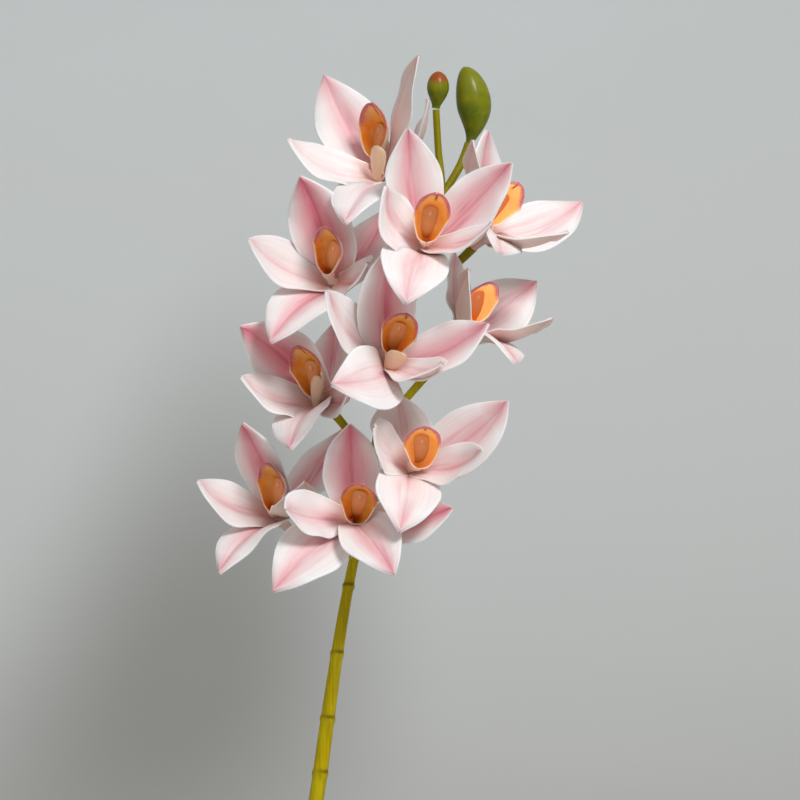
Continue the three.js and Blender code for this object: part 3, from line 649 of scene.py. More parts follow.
def bud_skin(settings):
    """Glossy bud skin: three shut sepals, green at the foot, with their tips flushed orange brown."""
    material, add, (along, ripe) = begin("glossy_bud_skin", "along", "ripe")
    place = add("TexCoord", out="Object")
    mottle = add("TexNoise", Vector=place, Scale=190, Detail=3)
    pale = add("MapRange", along, 0.45, 0.72, 0, 0.5)
    flush = add("MapRange", along, 0.66, 0.82, 0, 1)
    patch = add("MapRange", mottle, 0.4, 0.7, 0, 0.2)
    shade = layered(add, settings, "bud", (patch, "stem_light"), (pale, "bud_pale"), (flush, ripe, "bud_tip"))
    return surface(
        material, add, Base_Color=shade, Roughness=0.35, IOR=1.45, Specular_IOR_Level=0.3,
        Subsurface_Weight=0.15, Subsurface_Radius=(0.6, 1, 0.2), Subsurface_Scale=1.5 * MM,
        Coat_Weight=0.1, Coat_Roughness=0.2)


def strap_leaf(settings):
    """Leathery strap leaf: deep green with a satin cuticle, fine parallel veins and a paler back."""
    material, add, values = begin("leathery_strap_leaf", "across", "along", "inside", "seed")
    across, along, inside, seed = values
    spread = add("Math", across, operation="ABSOLUTE")
    # Parallel veins every 1.2 mm across a 24 mm blade, a little coarser than the real ones.
    at = add("CombineXYZ", across, along, seed)
    veins = grain(add, at, (20, 0.6, 1))
    broad = grain(add, at, (1.2, 7, 1))
    patch = add("MapRange", broad, 0.35, 0.7)
    line = add("MapRange", veins, 0.4, 0.65, 0, 0.6)
    rib = add("MapRange", spread, 0.02, 0.09, 0.55, 0)
    base = add("MapRange", along, 0, 0.16, 0.8, 0)
    tip = add("MapRange", along, 0.965, 0.995, 0, 0.8)
    reverse = add("MapRange", inside, 0, 1, 0.55, 0)
    shade = layered(
        add, settings, "leaf", (patch, "leaf_dark"), (line, "leaf_light"), (rib, "leaf_light"),
        (reverse, "leaf_light"), (base, "bulb"), (tip, "sheath"))
    bump = add("Bump", Strength=0.35, Distance=0.2 * MM, Height=veins)
    return surface(
        material, add, Base_Color=shade, Roughness=0.4, IOR=1.45, Subsurface_Weight=0.08,
        Subsurface_Radius=(0.4, 1, 0.2), Subsurface_Scale=1 * MM, Normal=bump)


def bulb_skin(settings):
    """Pseudobulb skin: firm pale green flesh, wrapped in the dry papery sheaths of old leaves."""
    material, add, (along, dry) = begin("sheathed_bulb_skin", "along", "dry")
    place = add("TexCoord", out="Object")
    # Sheath fibres 0.7 mm apart, which run up the bulb.
    fibres = grain(add, place, (700, 700, 60), detail=3)
    line = add("MapRange", fibres, 0.4, 0.65, 0, 0.5)
    low = add("MapRange", along, 0.1, 0.6, 0.5, 0)
    shade = layered(add, settings, "bulb", (line, "leaf_light"), (low, "stem_light"), (dry, "sheath"))
    rough = add("MapRange", dry, 0, 1, 0.42, 0.8)
    bump = add("Bump", Strength=0.5, Distance=0.25 * MM, Height=fibres)
    return surface(material, add, Base_Color=shade, Roughness=rough, IOR=1.45, Normal=bump)


def fir_bark(settings):
    """Composted fir bark: dry, dull, fibrous chips from tan to near black."""
    material, add, (tone,) = begin("dry_fir_bark", "tone")
    place = add("TexCoord", out="Object")
    # Fibre 1 mm wide and 6 mm long, and pits of 2 mm.
    fibres = grain(add, place, (1000, 170, 600), detail=5, roughness=0.7)
    pits = add("TexVoronoi", Vector=place, Scale=420)
    line = add("MapRange", fibres, 0.35, 0.7, 0, 0.8)
    pit = add("MapRange", pits, 0.1, 0.5, 0.7, 0)
    shade = layered(add, settings, "bark", (tone, "bark_light"), (line, "bark_dark"), (pit, "bark_dark"))
    height = add("Math", fibres, pits, operation="ADD")
    bump = add("Bump", Strength=0.8, Distance=0.6 * MM, Height=height)
    return surface(material, add, Base_Color=shade, Roughness=0.92, Specular_IOR_Level=0.25, Normal=bump)


def satin_glaze(settings):
    """Thrown stoneware under a satin glaze: off white, with iron specks and the faint rings of the wheel.

    The bare clay shows at the foot, where the glaze was wiped away.
    """
    material, add, (bare,) = begin("satin_stoneware_glaze", "bare")
    place = add("TexCoord", out="Object")
    # Specks of 0.4 to 1 mm, one to each cell of 4 mm.
    cells = add("TexVoronoi", Vector=place, Scale=250)
    size = add("TexNoise", Vector=place, Scale=90)
    reach = add("MapRange", size, 0.45, 0.75, 0.03, 0.19)
    speck = add("Math", cells, reach, operation="LESS_THAN")
    cloud = add("TexNoise", Vector=place, Scale=22, Detail=3)
    drift = add("MapRange", cloud, 0.35, 0.7, 0, 0.6)
    shade = layered(add, settings, "glaze", (drift, "glaze_warm"), (speck, 0.75, "speck"), (bare, "clay"))
    # The wheel's rings stand 3 mm apart.
    rings = grain(add, place, (12, 12, 330), detail=1)
    bump = add("Bump", Strength=0.25, Distance=0.5 * MM, Height=rings)
    rough = add("MapRange", bare, 0, 1, 0.38, 0.9)
    return surface(material, add, Base_Color=shade, Roughness=rough, IOR=1.5, Normal=bump)


def painted_plaster(settings):
    """Matt painted plaster: the pale, uneven backdrop, with painted shade close by and one broad soft shade."""
    material, add, _ = begin("matt_painted_plaster")
    place = add("TexCoord", out="Object")
    clouds = add("TexNoise", Vector=place, Scale=1.3, Detail=3)
    drift = add("MapRange", clouds, 0.3, 0.7, 0, 0.25)
    # Painted shade: the floor and the foot of the wall close by are painted darker, standing in for less light
    # there.
    depth = add("SeparateXYZ", place, out="Y")
    near = add("MapRange", depth, 1.9, 5.2, 1, 0)
    # The shade is an ellipse on the floor, 0.75 m wide and 4.3 m deep.
    moved = add("VectorMath", place, (0.24, -2.6, -0.08), operation="ADD")
    sized = add("VectorMath", moved, (2.7, 0.46, 0.5), operation="MULTIPLY")
    far = add("VectorMath", sized, operation="LENGTH", out="Value")
    patch = add("MapRange", far, 0.1, 1, 0.8, 0, interpolation_type="SMOOTHSTEP")
    shade = layered(add, settings, "wall", (near, "wall_near"), (drift, "wall_warm"), (patch, "wall_shade"))
    return surface(material, add, Base_Color=shade, Roughness=0.9, Specular_IOR_Level=0.2)


# ---------------------------------------------------------------- the places of the flowers


def spot(x, z, y):
    """The point of the part's own frame that lies at (x, z) of the front view and at depth y."""
    scale = (VIEW_RANGE + y) / VIEW_RANGE
    return Vector((VIEW_MIDDLE + (x - VIEW_MIDDLE) * scale, y, VIEW_HEIGHT + (z - VIEW_HEIGHT) * scale))


def reached(throat, x, z, reach):
    """The point at (x, z) of the front view at a reach from the throat, or behind it if that is negative."""
    point = spot(x, z, throat.y)
    for _ in range(4):
        aside = (point.x - throat.x) ** 2 + (point.z - throat.z) ** 2
        depth = math.sqrt(max(0, reach**2 - aside))
        point = spot(x, z, throat.y - math.copysign(depth, reach))
    return point


def heading(right, up):
    """The direction that looks right by one angle and up by another, in degrees, from straight ahead."""
    a, e = math.radians(right), math.radians(up)
    return Vector((math.sin(a) * math.cos(e), -math.cos(a) * math.cos(e), math.sin(e)))


def throat_of(bloom):
    """The middle of a bloom, which its tepals stand round."""
    return spot(*bloom["throat"])


spike_line = through([Vector(point) for point in SPIKE_LINE])


def spike_share(z):
    """Where the spike's line is at a height, as a share of its length."""
    low, high = 0.0, 1.0
    for _ in range(40):
        middle = (low + high) / 2
        if spike_line(middle).z < z:
            low = middle
        else:
            high = middle
    return low


def spike_girth(z):
    """The spike's diameter at a height."""
    for (low, thick), (high, thin) in zip(SPIKE_GIRTH, SPIKE_GIRTH[1:]):
        if z <= high:
            return thick + (thin - thick) * (z - low) / (high - low)
    return SPIKE_GIRTH[-1][1]


# ---------------------------------------------------------------- the blooms


def tepal_outline(t):
    """A tepal's half width as a share of its widest: a broad foot, full at the middle, and a pointed tip."""
    claw, widest = TEPAL["claw"], TEPAL["widest"]
    if t < widest:
        return claw + (1 - claw) * math.sin(math.pi / 2 * t / widest)
    return max(0.012, 1 - ((t - widest) / (1 - widest)) ** TEPAL["blunt"])


def add_tepal(shell, bloom, tepal, settings, rng):
    """One sepal or petal: a cupped blade that runs from beside the throat to its tip."""
    kind, x, z, reach, width, sweep, turn, rosy = tepal
    axis = heading(*bloom["faces"])
    throat = throat_of(bloom)
    tip = reached(throat, x, z, reach)
    root = throat + TEPAL["root"] * squared(tip - throat, axis) + TEPAL[kind] * axis
    chord = tip - root
    face = Quaternion(chord.normalized(), math.radians(turn)) @ squared(axis, chord)
    belly = chord.length * 2 * BOW["lower" if z < bloom["throat"][1] else kind]
    bend = root.lerp(tip, 0.5) + belly * face + 2 * sweep * chord.cross(face).normalized()
    phase, waves, lean = rng.uniform(0, 6.28), rng.uniform(1.4, 2.6), rng.uniform(-0.5, 0.5)
    groove = settings.groove / MM
    ruffle = settings.ruffle / MM

    def relief(t, s):
        """A groove along the midrib, a swell to each side of it, and an uneven margin that rolls back."""
        body = math.sin(math.pi * min(1, t * 1.05)) ** 0.7 if t < 0.95 else 0.2
        sunk = -groove * math.exp(-((s / TEPAL["groove"]) ** 2)) * body
        swell = TEPAL["swell"] * (1 - (2 * abs(s) - 1) ** 2) * body
        shift = (lean if s > 0 else -lean) * 3
        wave = ruffle * abs(s) ** 3 * math.sin(waves * 6.28 * t + phase + shift) * body
        return sunk + swell + wave - TEPAL["roll"] * abs(s) ** 4 * smooth(t, 0.35, 0.8)

    def thick(t, s):
        margin, flesh = settings.margin_thickness / MM, settings.tepal_thickness / MM
        return margin + (flesh - margin) * (1 - s**4) * (1 - 0.4 * t)

    add_sheet(
        shell, bezier(root, bend, tip), facing(face), lambda t: width / 2 * tepal_outline(t),
        lambda t: CUP[kind] * (1.25 - 0.7 * t), thick, rows=32, cols=20, relief=relief, rosy=rosy,
        seed=rng.uniform(0, 90),
    )


def add_ovary(shell, bloom):
    """The swollen top of the stalk that the tepals stand on."""
    axis = heading(*bloom["faces"])
    throat = throat_of(bloom)
    root, crown = OVARY["root"], OVARY["crown"]

    def radius(t, turn):
        swell = (root + (crown - root) * math.sin(math.pi / 2 * t) ** 1.5) / 2
        return (swell + 0.15 * math.cos(6 * turn)) * math.sqrt(max(0.05, 1 - smooth(t, 0.85, 1.05)))

    line = bezier(throat - OVARY["length"] * axis, throat + OVARY["top"] * axis)
    add_tube(shell, line, radius, rows=16, sides=24, rosy=0.4, seed=5.0, inside=1.0, along=0.1, across=0.3)


def lip_frame(bloom):
    """The lip's middle line up its back, the way its mouth looks, and its roll along that line.

    Roll(t) is its radius and half the angle that it is rolled through, so its rim is in the mouth's plane.
    """
    throat = throat_of(bloom)
    foot_at, top_at, looks = bloom["mouth"]
    foot = reached(throat, *foot_at, LIP["foot"])
    top = reached(throat, *top_at, LIP["top"])
    face = squared(heading(looks, -LIP["down"]), top - foot)
    line = through([
        throat + LIP["root"] * heading(*bloom["faces"]),
        foot - 0.7 * LIP["deep"] * face,
        foot.lerp(top, 0.5) - LIP["deep"] * face,
        top,
    ])

    def roll(t):
        wide = mouth_half(t)
        tube = LIP["neck"] + (LIP["tube"] - LIP["neck"]) * smooth(t, 0, LIP["opens"])
        deep = max(0.15 * wide, tube + ((foot - line(t)).dot(face) - tube) * smooth(t, 0.12, 0.33))
        return (wide**2 + deep**2) / (2 * deep), 2 * math.atan2(deep, wide)

    return line, face, roll


def mouth_half(t):
    """Half the width of the lip's mouth: shut at its foot, widest above its middle, and round at its top."""
    foot, widest, half, slit = LIP["opens"], LIP["widest"], LIP["width"] / 2, LIP["slit"] / 2
    if t < widest:
        return slit + (half - slit) * math.sin(math.pi / 2 * max(0, (t - foot) / (widest - foot))) ** 0.45
    return half * math.sqrt(max(0.004, 1 - ((t - widest) / (1 - widest)) ** 2.4))


def add_lip(shell, bloom, rng):
    """The scoop of the lip. Each of its points also gets its distance from the edge, in millimetres."""
    line, face, roll = lip_frame(bloom)
    phase = rng.uniform(0, 6.28)

    def half(t):
        radius, curl = roll(t)
        return radius * curl

    def relief(t, s):
        """The rim flares outward, and waves a little."""
        low = smooth(t, 0.2, 0.8) * (1 - smooth(t, 0.86, 1.0))
        wave = LIP["wave"] * abs(s) ** 4 * math.sin(13 * t + phase + 2 * s)
        return low * (wave - LIP["flare"] * smooth(abs(s), 0.75, 1.0))

    add_sheet(
        shell, line, facing(face), half, lambda t: roll(t)[1],
        lambda t, s: LIP["middle"] - LIP["thinner"] * s**4, rows=44, cols=36, relief=relief,
        glow=bloom["glow"],
    )
    length = sum((line((k + 1) / 20) - line(k / 20)).length for k in range(20))
    shell.values["edge"] = [
        min((1 - abs(s)) * half(t), (1 - t) * length)
        for t, s in zip(shell.values["along"], shell.values["across"])
    ]


def add_tongue(shell, bloom):
    """The small peach flap before the foot of the lip's mouth."""
    x, z, width = bloom["tongue"]
    throat = throat_of(bloom)
    _, face, _ = lip_frame(bloom)
    foot, top = Vector(bloom["mouth"][0]), Vector(bloom["mouth"][1])
    share = min(1, max(0, (Vector((x, z)) - foot).dot(top - foot) / (top - foot).length_squared))
    tip = reached(throat, x, z, LIP["foot"] + (LIP["top"] - LIP["foot"]) * share + TONGUE["proud"])
    root = throat + (LIP["root"] - 1) * heading(*bloom["faces"]) + (LIP["tube"] + 0.6) * face
    bend = root.lerp(tip, 0.6) + TONGUE["bend"] * face
    foot_share, full = TONGUE["foot"], TONGUE["full"]

    def half(t):
        """It widens from its foot until it is full, and ends round."""
        wide = foot_share + (1 - foot_share) * math.sin(math.pi / 2 * min(1, t / full))
        return width / 2 * wide * math.sqrt(max(0.03, 1 - max(0, (t - full) / (1 - full)) ** 3.2))

    add_sheet(
        shell, bezier(root, bend, tip), facing(-face), half, lambda t: TONGUE["curl"],
        lambda t, s: TONGUE["middle"] - TONGUE["thinner"] * s**4, rows=18, cols=16, tongue=1.0, edge=5.0,
    )


def column_radius(t):
    """It swells from its root to a head with a round top."""
    root, head, full = COLUMN["root"], COLUMN["head"], COLUMN["full"]
    swell = root + (head - root) * math.sin(math.pi / 2 * min(1, t / full)) ** 1.2
    return swell / 2 * math.sqrt(max(0.01, 1 - max(0, (t - full) / (1 - full)) ** 2))


def add_column(shell, bloom):
    """The club that lies along the back of the lip, with the cap of its anther near its top."""
    line, face, roll = lip_frame(bloom)
    front, back = COLUMN["front"], COLUMN["back"]
    points = []
    for k in range(5):
        along = COLUMN["from"] + (COLUMN["to"] - COLUMN["from"]) * k / 4
        up = squared(face, tangent(line, along))
        proud = back * column_radius(min(k / 4, 0.65)) + COLUMN["clear"]
        points.append(line(along) + min(proud, roll(along)[0]) * up)
    middle = through(points)
    caps = []

    def radius(t, turn):
        """Half an ellipse in front and a flatter one behind, with the round anther cap in front."""
        wide = column_radius(t)
        aside = (turn - COLUMN["face"] + math.pi) % (2 * math.pi) - math.pi
        thin = wide * (front if abs(aside) < math.pi / 2 else back)
        around = wide * thin / math.hypot(thin * math.cos(turn), wide * math.sin(turn))
        cap = math.exp(-(((t - COLUMN["cap"]) / 0.085) ** 2) - (aside / 0.6) ** 2)
        # Where the cap's pale colour, partly a painted highlight, is laid on.
        caps.append(smooth(cap, 0.12, 0.7))
        return around + COLUMN["cap_proud"] * cap

    add_tube(shell, middle, radius, rows=40, sides=36, side=tangent(middle, 0).cross(face))
    shell.values["cap"] = caps


# ---------------------------------------------------------------- the settings that a user would change


def tint(name, code, description):
    """A colour that a user would change."""
    return FloatVectorProperty(
        name=name, description=description, default=colour(code)[:3], subtype="COLOR", size=3, min=0, max=1)


def measure(name, default, description, unit="LENGTH"):
    """A length, or another measure, that a user would change."""
    return FloatProperty(name=name, description=description, default=default, unit=unit)


class BloomSettings(bpy.types.PropertyGroup):
    """Sizes and colours of the blooms."""

    tepal_thickness: measure("Tepal thickness", 1.3 * MM, "Thickness of a petal or sepal at its midrib")
    margin_thickness: measure("Margin thickness", 0.6 * MM, "Thickness of a petal or sepal at its margin")
    groove: measure("Groove", 0.5 * MM, "Depth of the groove along a tepal's midrib")
    ruffle: measure("Ruffle", 0.9 * MM, "Height of the waves of a tepal's margin")
    petal: tint("Petal", "fbf1f0", "Colour of the blade between its streaks")
    blush: tint("Blush", "e88d9c", "Colour of the rosy clouds on a blade")
    vein: tint("Vein", "f0bcc4", "Colour of the fine veins")
    streak: tint("Streak", "cf5a72", "Colour of the streak along the midrib")
    claw: tint("Claw", "d49c8a", "Colour of a tepal's narrow foot")
    reverse: tint("Reverse", "e6d0c4", "Colour of a tepal's back")
    margin: tint("Margin", "fffafa", "Colour of a tepal's edge")
    lip: tint("Lip", "f29e26", "Colour inside the lip")
    lip_deep: tint("Lip shade", "bc660a", "Deeper colour inside the lip")
    lip_light: tint("Lip light", "f3c67a", "Lighter patches and the upper band inside the lip")
    lip_edge: tint("Lip edge", "f1d3c2", "Colour of the lip's outside and margin")
    lip_rim: tint("Lip rim", "a83c66", "Colour of the lip's upper rim")
    lip_peach: tint("Lip peach", "ffc078", "Colour inside the palest lips")
    lip_veil: tint("Lip veil", "c98a78", "Pink flush inside one flank of the lip")
    lip_crease: tint("Lip crease", "4f1a1f", "Colour of the short line at the lip's top")
    tongue: tint("Tongue", "ecc4a8", "Colour of the flap before the foot of the lip's mouth")
    column: tint("Column", "ee9a56", "Colour of the column")
    cap: tint("Column cap", "f2c493", "Colour of the cap on the column's head")


class PlantSettings(bpy.types.PropertyGroup):
    """Colours of the green parts."""

    stem: tint("Stem", "c2aa00", "Colour of the spike and stalks")
    stem_light: tint("Stem light", "d2bf10", "Lighter patches of the spike")
    stem_young: tint("Stem, young", "76780e", "The spike and stalks among the blooms")
    stem_dark: tint("Stem dark", "6e5a06", "Leaf scars and fibres of the spike")
    bud: tint("Bud", "5f6d02", "Colour of a bud")
    bud_pale: tint("Bud band", "8c8a16", "Paler band above a bud's middle")
    bud_tip: tint("Bud tip", "9c4f1c", "Flush on a ripe bud's tip")
    leaf: tint("Leaf", "3f6a24", "Colour of the leaves")
    leaf_dark: tint("Leaf dark", "2c4f1b", "Darker patches of the leaves")
    leaf_light: tint("Leaf light", "7d9a48", "Veins and backs of the leaves")
    bulb: tint("Bulb", "8ba24c", "Colour of the bulbs")
    sheath: tint("Sheath", "a9885a", "Dry papery sheaths round the bulbs")


class PotSettings(bpy.types.PropertyGroup):
    """Colours of the pot and of what fills it, and its smoothness."""

    sides: IntProperty(name="Sides", description="Facets round the pot", default=128, min=24)
    glaze: tint("Glaze", "e4dfd4", "Colour of the glaze")
    glaze_warm: tint("Glaze, warm", "d8cfbf", "Warmer drifts in the glaze")
    speck: tint("Speck", "6b5138", "Iron specks in the glaze")
    clay: tint("Clay", "b98f68", "Bare clay at the foot")
    bark: tint("Bark", "6a452c", "Middle tone of the potting bark")
    bark_light: tint("Bark, light", "a07850", "Freshly broken faces of the bark")
    bark_dark: tint("Bark, dark", "2c1c12", "Pits and fibres of the bark")


class StageSettings(bpy.types.PropertyGroup):
    """The backdrop and the light."""

    radius: measure("Radius", 7.0, "Radius of the round backdrop")
    key: measure("Key light", 31.0, "Power of the main soft light", "POWER")
    fill: measure("Fill light", 6.0, "Power of the weak front light", "POWER")
    wash: measure("Wash light", 41.0, "Power of the light on the backdrop", "POWER")
    sky: measure("Sky", 0.38, "Strength of the even light from all round", "NONE")
    wall: tint("Wall", "f3f8f8", "Colour of the backdrop")
    wall_near: tint("Wall, near", "cfd0cd", "Colour of the backdrop close by")
    wall_warm: tint("Wall, warm", "e4e4e0", "Warmer drifts of the backdrop")
    wall_shade: tint("Wall shade", "95948e", "The broad soft shade on the backdrop")


# ---------------------------------------------------------------- operators


def add_dish(radius, material):
    """The backdrop: a round sheet that is flat in the middle and rises to its rim."""
    rings, sides, flat = DISH["rings"], DISH["sides"], DISH["flat"]
    points = [Vector((0, 0, 0))]
    faces = [(0, 1 + k, 1 + (k + 1) % sides) for k in range(sides)]
    for i in range(1, rings + 1):
        out = radius * (i / rings) ** 0.8
        height = DISH["rise"] * max(0, (out - flat) / (radius - flat)) ** 2.6
        points += [ring_point(out, 2 * math.pi * k / sides, height) for k in range(sides)]
    faces += [(a, d, c, b) for a, b, c, d in bands(1, rings - 1, sides)]
    mesh = bpy.data.meshes.new("backdrop")
    mesh.from_pydata(points, [], faces)
    mesh.shade_smooth()
    mesh.materials.append(material)
    backdrop = bpy.data.objects.new("backdrop", mesh)
    bpy.context.scene.collection.objects.link(backdrop)


class ORCHID_OT_stage(bpy.types.Operator):
    """Makes the camera, the round backdrop and the soft lights"""

    bl_idname = "orchid.stage"
    bl_label = "Stage"

    def execute(self, context):
        settings = context.scene.orchid_stage
        camera = bpy.data.cameras.new("front_camera")
        camera.sensor_width = 36
        camera.lens = camera.sensor_width * VIEW_RANGE / VIEW_WIDTH
        eye = bpy.data.objects.new("front_camera", camera)
        eye.location = Vector((VIEW_MIDDLE, -VIEW_RANGE, VIEW_HEIGHT)) * MM
        eye.rotation_euler = (math.radians(90), 0, 0)
        context.scene.collection.objects.link(eye)
        context.scene.camera = eye
        add_dish(settings.radius, painted_plaster(settings))

        middle = Vector((VIEW_MIDDLE, 0, VIEW_HEIGHT)) * MM
        for name, power, size, place, aim in (
            ("key_light", settings.key, KEY["size"], middle + KEY["place"], -KEY["place"]),
            ("fill_light", settings.fill, FILL["size"], middle + FILL["place"], -FILL["place"]),
            ("wash_light", settings.wash, WASH["size"], WASH["place"], WASH["aim"]),
        ):
            light = bpy.data.lights.new(name, "AREA")
            light.energy = power
            light.size = size
            lamp = bpy.data.objects.new(name, light)
            lamp.location = place
            lamp.rotation_euler = aim.to_track_quat("-Z", "Y").to_euler()
            lamp.visible_camera = False
            context.scene.collection.objects.link(lamp)

        world = bpy.data.worlds.new("soft_sky")
        world.use_nodes = True
        background = world.node_tree.nodes["Background"]
        background.inputs["Color"].default_value = SKY
        background.inputs["Strength"].default_value = settings.sky
        context.scene.world = world
        context.scene.view_settings.view_transform = "Standard"
        return {"FINISHED"}


def pot_outline():
    """The pot's profile, from the middle of its underside, over its rim, to the middle of its floor."""
    height, rim, foot, wall, floor = (POT[key] for key in ("height", "rim", "foot", "wall", "floor"))
    lift, band = POT["lift"], height - POT["band"]
    low, high, steps = foot + 0.6, rim - POT["step"], 16
    outline = [(0, lift), (foot - 9, lift), (foot - 7.5, 0), (foot - 2, 0), (foot - 0.6, 0.6), (foot, 2)]
    for k in range(1, steps + 1):
        outline.append((low + (high - low) * k / steps, 2 + (band - 4) * k / steps))
    outline += [(rim - 0.6, band - 1.2), (rim, band)]
    outline += [(rim, height - 1.5 - 7 * (3 - k) / 3) for k in range(4)]
    outline += [(rim - 0.5, height - 0.5), (rim - 1.5, height), (rim - wall + 1, height)]
    outline += [(rim - wall, height - 0.6), (rim - wall - 1.5, height - 3)]
    return outline + [(foot - wall + 1, floor + 2), (foot - wall - 2, floor), (0, floor)]


class ORCHID_OT_pot(bpy.types.Operator):
    """Makes the glazed pot, with the drain holes in its floor"""

    bl_idname = "orchid.pot"
    bl_label = "Pot"

    def execute(self, context):
        settings = context.scene.orchid_pot
        shell = Shell("bare")
        add_lathe(shell, pot_outline(), settings.sides)
        shell.values["bare"] = [1.0 if point.z < 2.5 else 0.0 for point in shell.points]
        pot = shell.piece("glazed_pot", satin_glaze(settings), "pot", slot="pot", crease=35)
        drain = POT["drain"]
        for k in range(POT["drains"]):
            turn = 2 * math.pi * k / POT["drains"] + math.pi / 4
            cutter = Shell()
            middle = ring_point(POT["drain_ring"], turn, -5)
            add_lathe(cutter, [(0, 0), (drain, 0), (drain, 20), (0, 20)], 32, at=middle)
            mesh = bpy.data.meshes.new("drain")
            mesh.from_pydata([point * MM for point in cutter.points], [], cutter.faces)
            hole = bpy.data.objects.new("drain", mesh)
            context.scene.collection.objects.link(hole)
            cut = pot.modifiers.new("drain", "BOOLEAN")
            cut.object = hole
            cut.operation = "DIFFERENCE"
            context.view_layer.update()
            cut_mesh = bpy.data.meshes.new_from_object(pot.evaluated_get(context.evaluated_depsgraph_get()))
            pot.modifiers.clear()
            pot.data = cut_mesh
            bpy.data.objects.remove(hole)
        return {"FINISHED"}


def chip_faces():
    """The faces of a box of 4 by 4 by 3 points."""
    at = {(i, j, k): (i * 4 + j) * 3 + k for i in range(4) for j in range(4) for k in range(3)}
    faces = []
    for i in range(3):
        p = i + 1
        for j in range(3):
            q = j + 1
            faces.append((at[i, j, 0], at[i, q, 0], at[p, q, 0], at[p, j, 0]))
            faces.append((at[i, j, 2], at[p, j, 2], at[p, q, 2], at[i, q, 2]))
        for k in range(2):
            r = k + 1
            faces.append((at[i, 0, k], at[p, 0, k], at[p, 0, r], at[i, 0, r]))
            faces.append((at[i, 3, k], at[i, 3, r], at[p, 3, r], at[p, 3, k]))
            faces.append((at[0, i, k], at[0, i, r], at[0, p, r], at[0, p, k]))
            faces.append((at[3, i, k], at[3, p, k], at[3, p, r], at[3, i, r]))
    return faces


def chip_points(middle, half, spin, number):
    """The points of a box with rounded corners and an uneven, torn form, which is turned and moved."""
    points = []
    for i in range(4):
        for j in range(4):
            for k in range(3):
                corner = Vector((i / 1.5 - 1, j / 1.5 - 1, k - 1))
                pinch = 1 - 0.12 * (abs(corner.x) + abs(corner.y) + abs(corner.z) - 1)
                ragged = 1 + BARK["ragged"] * noise.noise(corner * 1.3 + Vector((number, 0, 0)))
                points.append(middle + spin @ Vector([c * h * pinch * ragged for c, h in zip(corner, half)]))
    return points


class ORCHID_OT_bark(bpy.types.Operator):
    """Fills the pot with loose chips of bark"""

    bl_idname = "orchid.bark"
    bl_label = "Potting bark"

    def execute(self, context):
        settings = context.scene.orchid_pot
        rng = random.Random(BARK["seed"])
        shell = Shell("tone")
        foot, rim, wall, bottom = POT["foot"], POT["rim"], POT["wall"], POT["floor"] + 0.3
        inside = foot + (rim - foot) * BARK["top"] / POT["height"] - wall - 1.2
        base = BARK["top"] - BARK["under"]
        add_lathe(shell, [(0, bottom), (foot - wall, bottom), (inside, base), (0, base)], 64, tone=0.1)
        golden = math.pi * (3 - math.sqrt(5))
        faces = chip_faces()
        for n in range(BARK["chips"]):
            out = (inside - 5) * math.sqrt((n * 0.618) % 1)
            size = rng.uniform(0.35, 1.0) ** 1.3
            half = [0.5 * side * size * rng.uniform(0.8, 1.2) for side in BARK["chip"]]
            spin = Quaternion((0, 0, 1), rng.uniform(0, 6.28)) @ Quaternion((1, 0, 0), rng.gauss(0, 0.35))
            spin = spin @ Quaternion((0, 1, 0), rng.gauss(0, 0.35))
            height = base + 1 + BARK["heap"] * rng.random() * (1 - size * 0.4)
            middle = ring_point(out, n * golden, height)
            middle.xy *= min(1, (inside - half[0] * 0.8) / max(out, 1))
            shell.add(chip_points(middle, half, spin, n), faces, tone=rng.random() ** 1.5)
        shell.piece("bark_chips", fir_bark(settings), "potting_bark", slot="bark", crease=40)
        return {"FINISHED"}


def add_bulb(shell, shoot, base):
    """A bulb, full near its foot and with a short neck, faint ribs and patches of dry sheath."""
    rows, height = BULB["rows"], shoot["height"]
    profile = [(0, 0)]
    for i in range(1, rows + 1):
        t = i / rows
        swell = max(0, math.sin(math.pi * t**0.8)) ** 0.75 * (1 - 0.3 * t)
        neck = BULB["neck"] * smooth(t, 0.5, 0.8)
        profile.append((max(shoot["radius"] * swell, neck), height * t))
    profile.append((0, height))

    def rib(t, turn):
        return BULB["rib"] * math.cos(BULB["ribs"] * turn) * math.sin(math.pi * t)

    add_lathe(shell, profile, 56, at=(*shoot["at"], base), bulge=rib)
    shell.values["dry"] = [
        smooth(noise.noise(point * 0.09) + 0.5 * noise.noise(point * 0.4), 0.0, 0.25)
        for point in shell.points
    ]


def add_leaf(shell, leaf, root, rng):
    """A strap leaf that rises from its root, arches outward and hangs at its tip."""
    degrees, reach, rise, drop, width = leaf
    ahead = ring_point(1, math.radians(degrees), 0)
    side = Vector((ahead.y, -ahead.x, 0))
    start = root + LEAF["foot"] * ahead
    sway = rng.uniform(-LEAF["sway"], LEAF["sway"])

    def line(t):
        out = reach * (0.35 * t + 0.65 * t * t) ** 0.92
        up = rise * 1.1 * max(0, math.sin(math.pi * 0.98 * t)) ** 0.9 - drop * t**3
        return start + out * ahead + side * (sway * t * t) + Vector((0, 0, up))

    def half(t):
        spread = 0.45 + 0.55 * min(1, t / 0.35)
        return 0.3 + width / 2 * spread * (1 - max(0, (t - 0.45) / 0.55) ** 2.4)

    def relief(t, s):
        """The groove along the midrib, which fades toward the tip."""
        return -LEAF["groove"] * math.exp(-((s / 0.12) ** 2)) * smooth(t, 0, 0.1) * (1 - t)

    add_sheet(
        shell, line, lambda along: side, half, lambda t: LEAF["curl"] - LEAF["flatter"] * t,
        lambda t, s: LEAF["thick"] - LEAF["thinner"] * s**2, rows=72, cols=14, relief=relief,
        seed=rng.uniform(0, 90),
    )


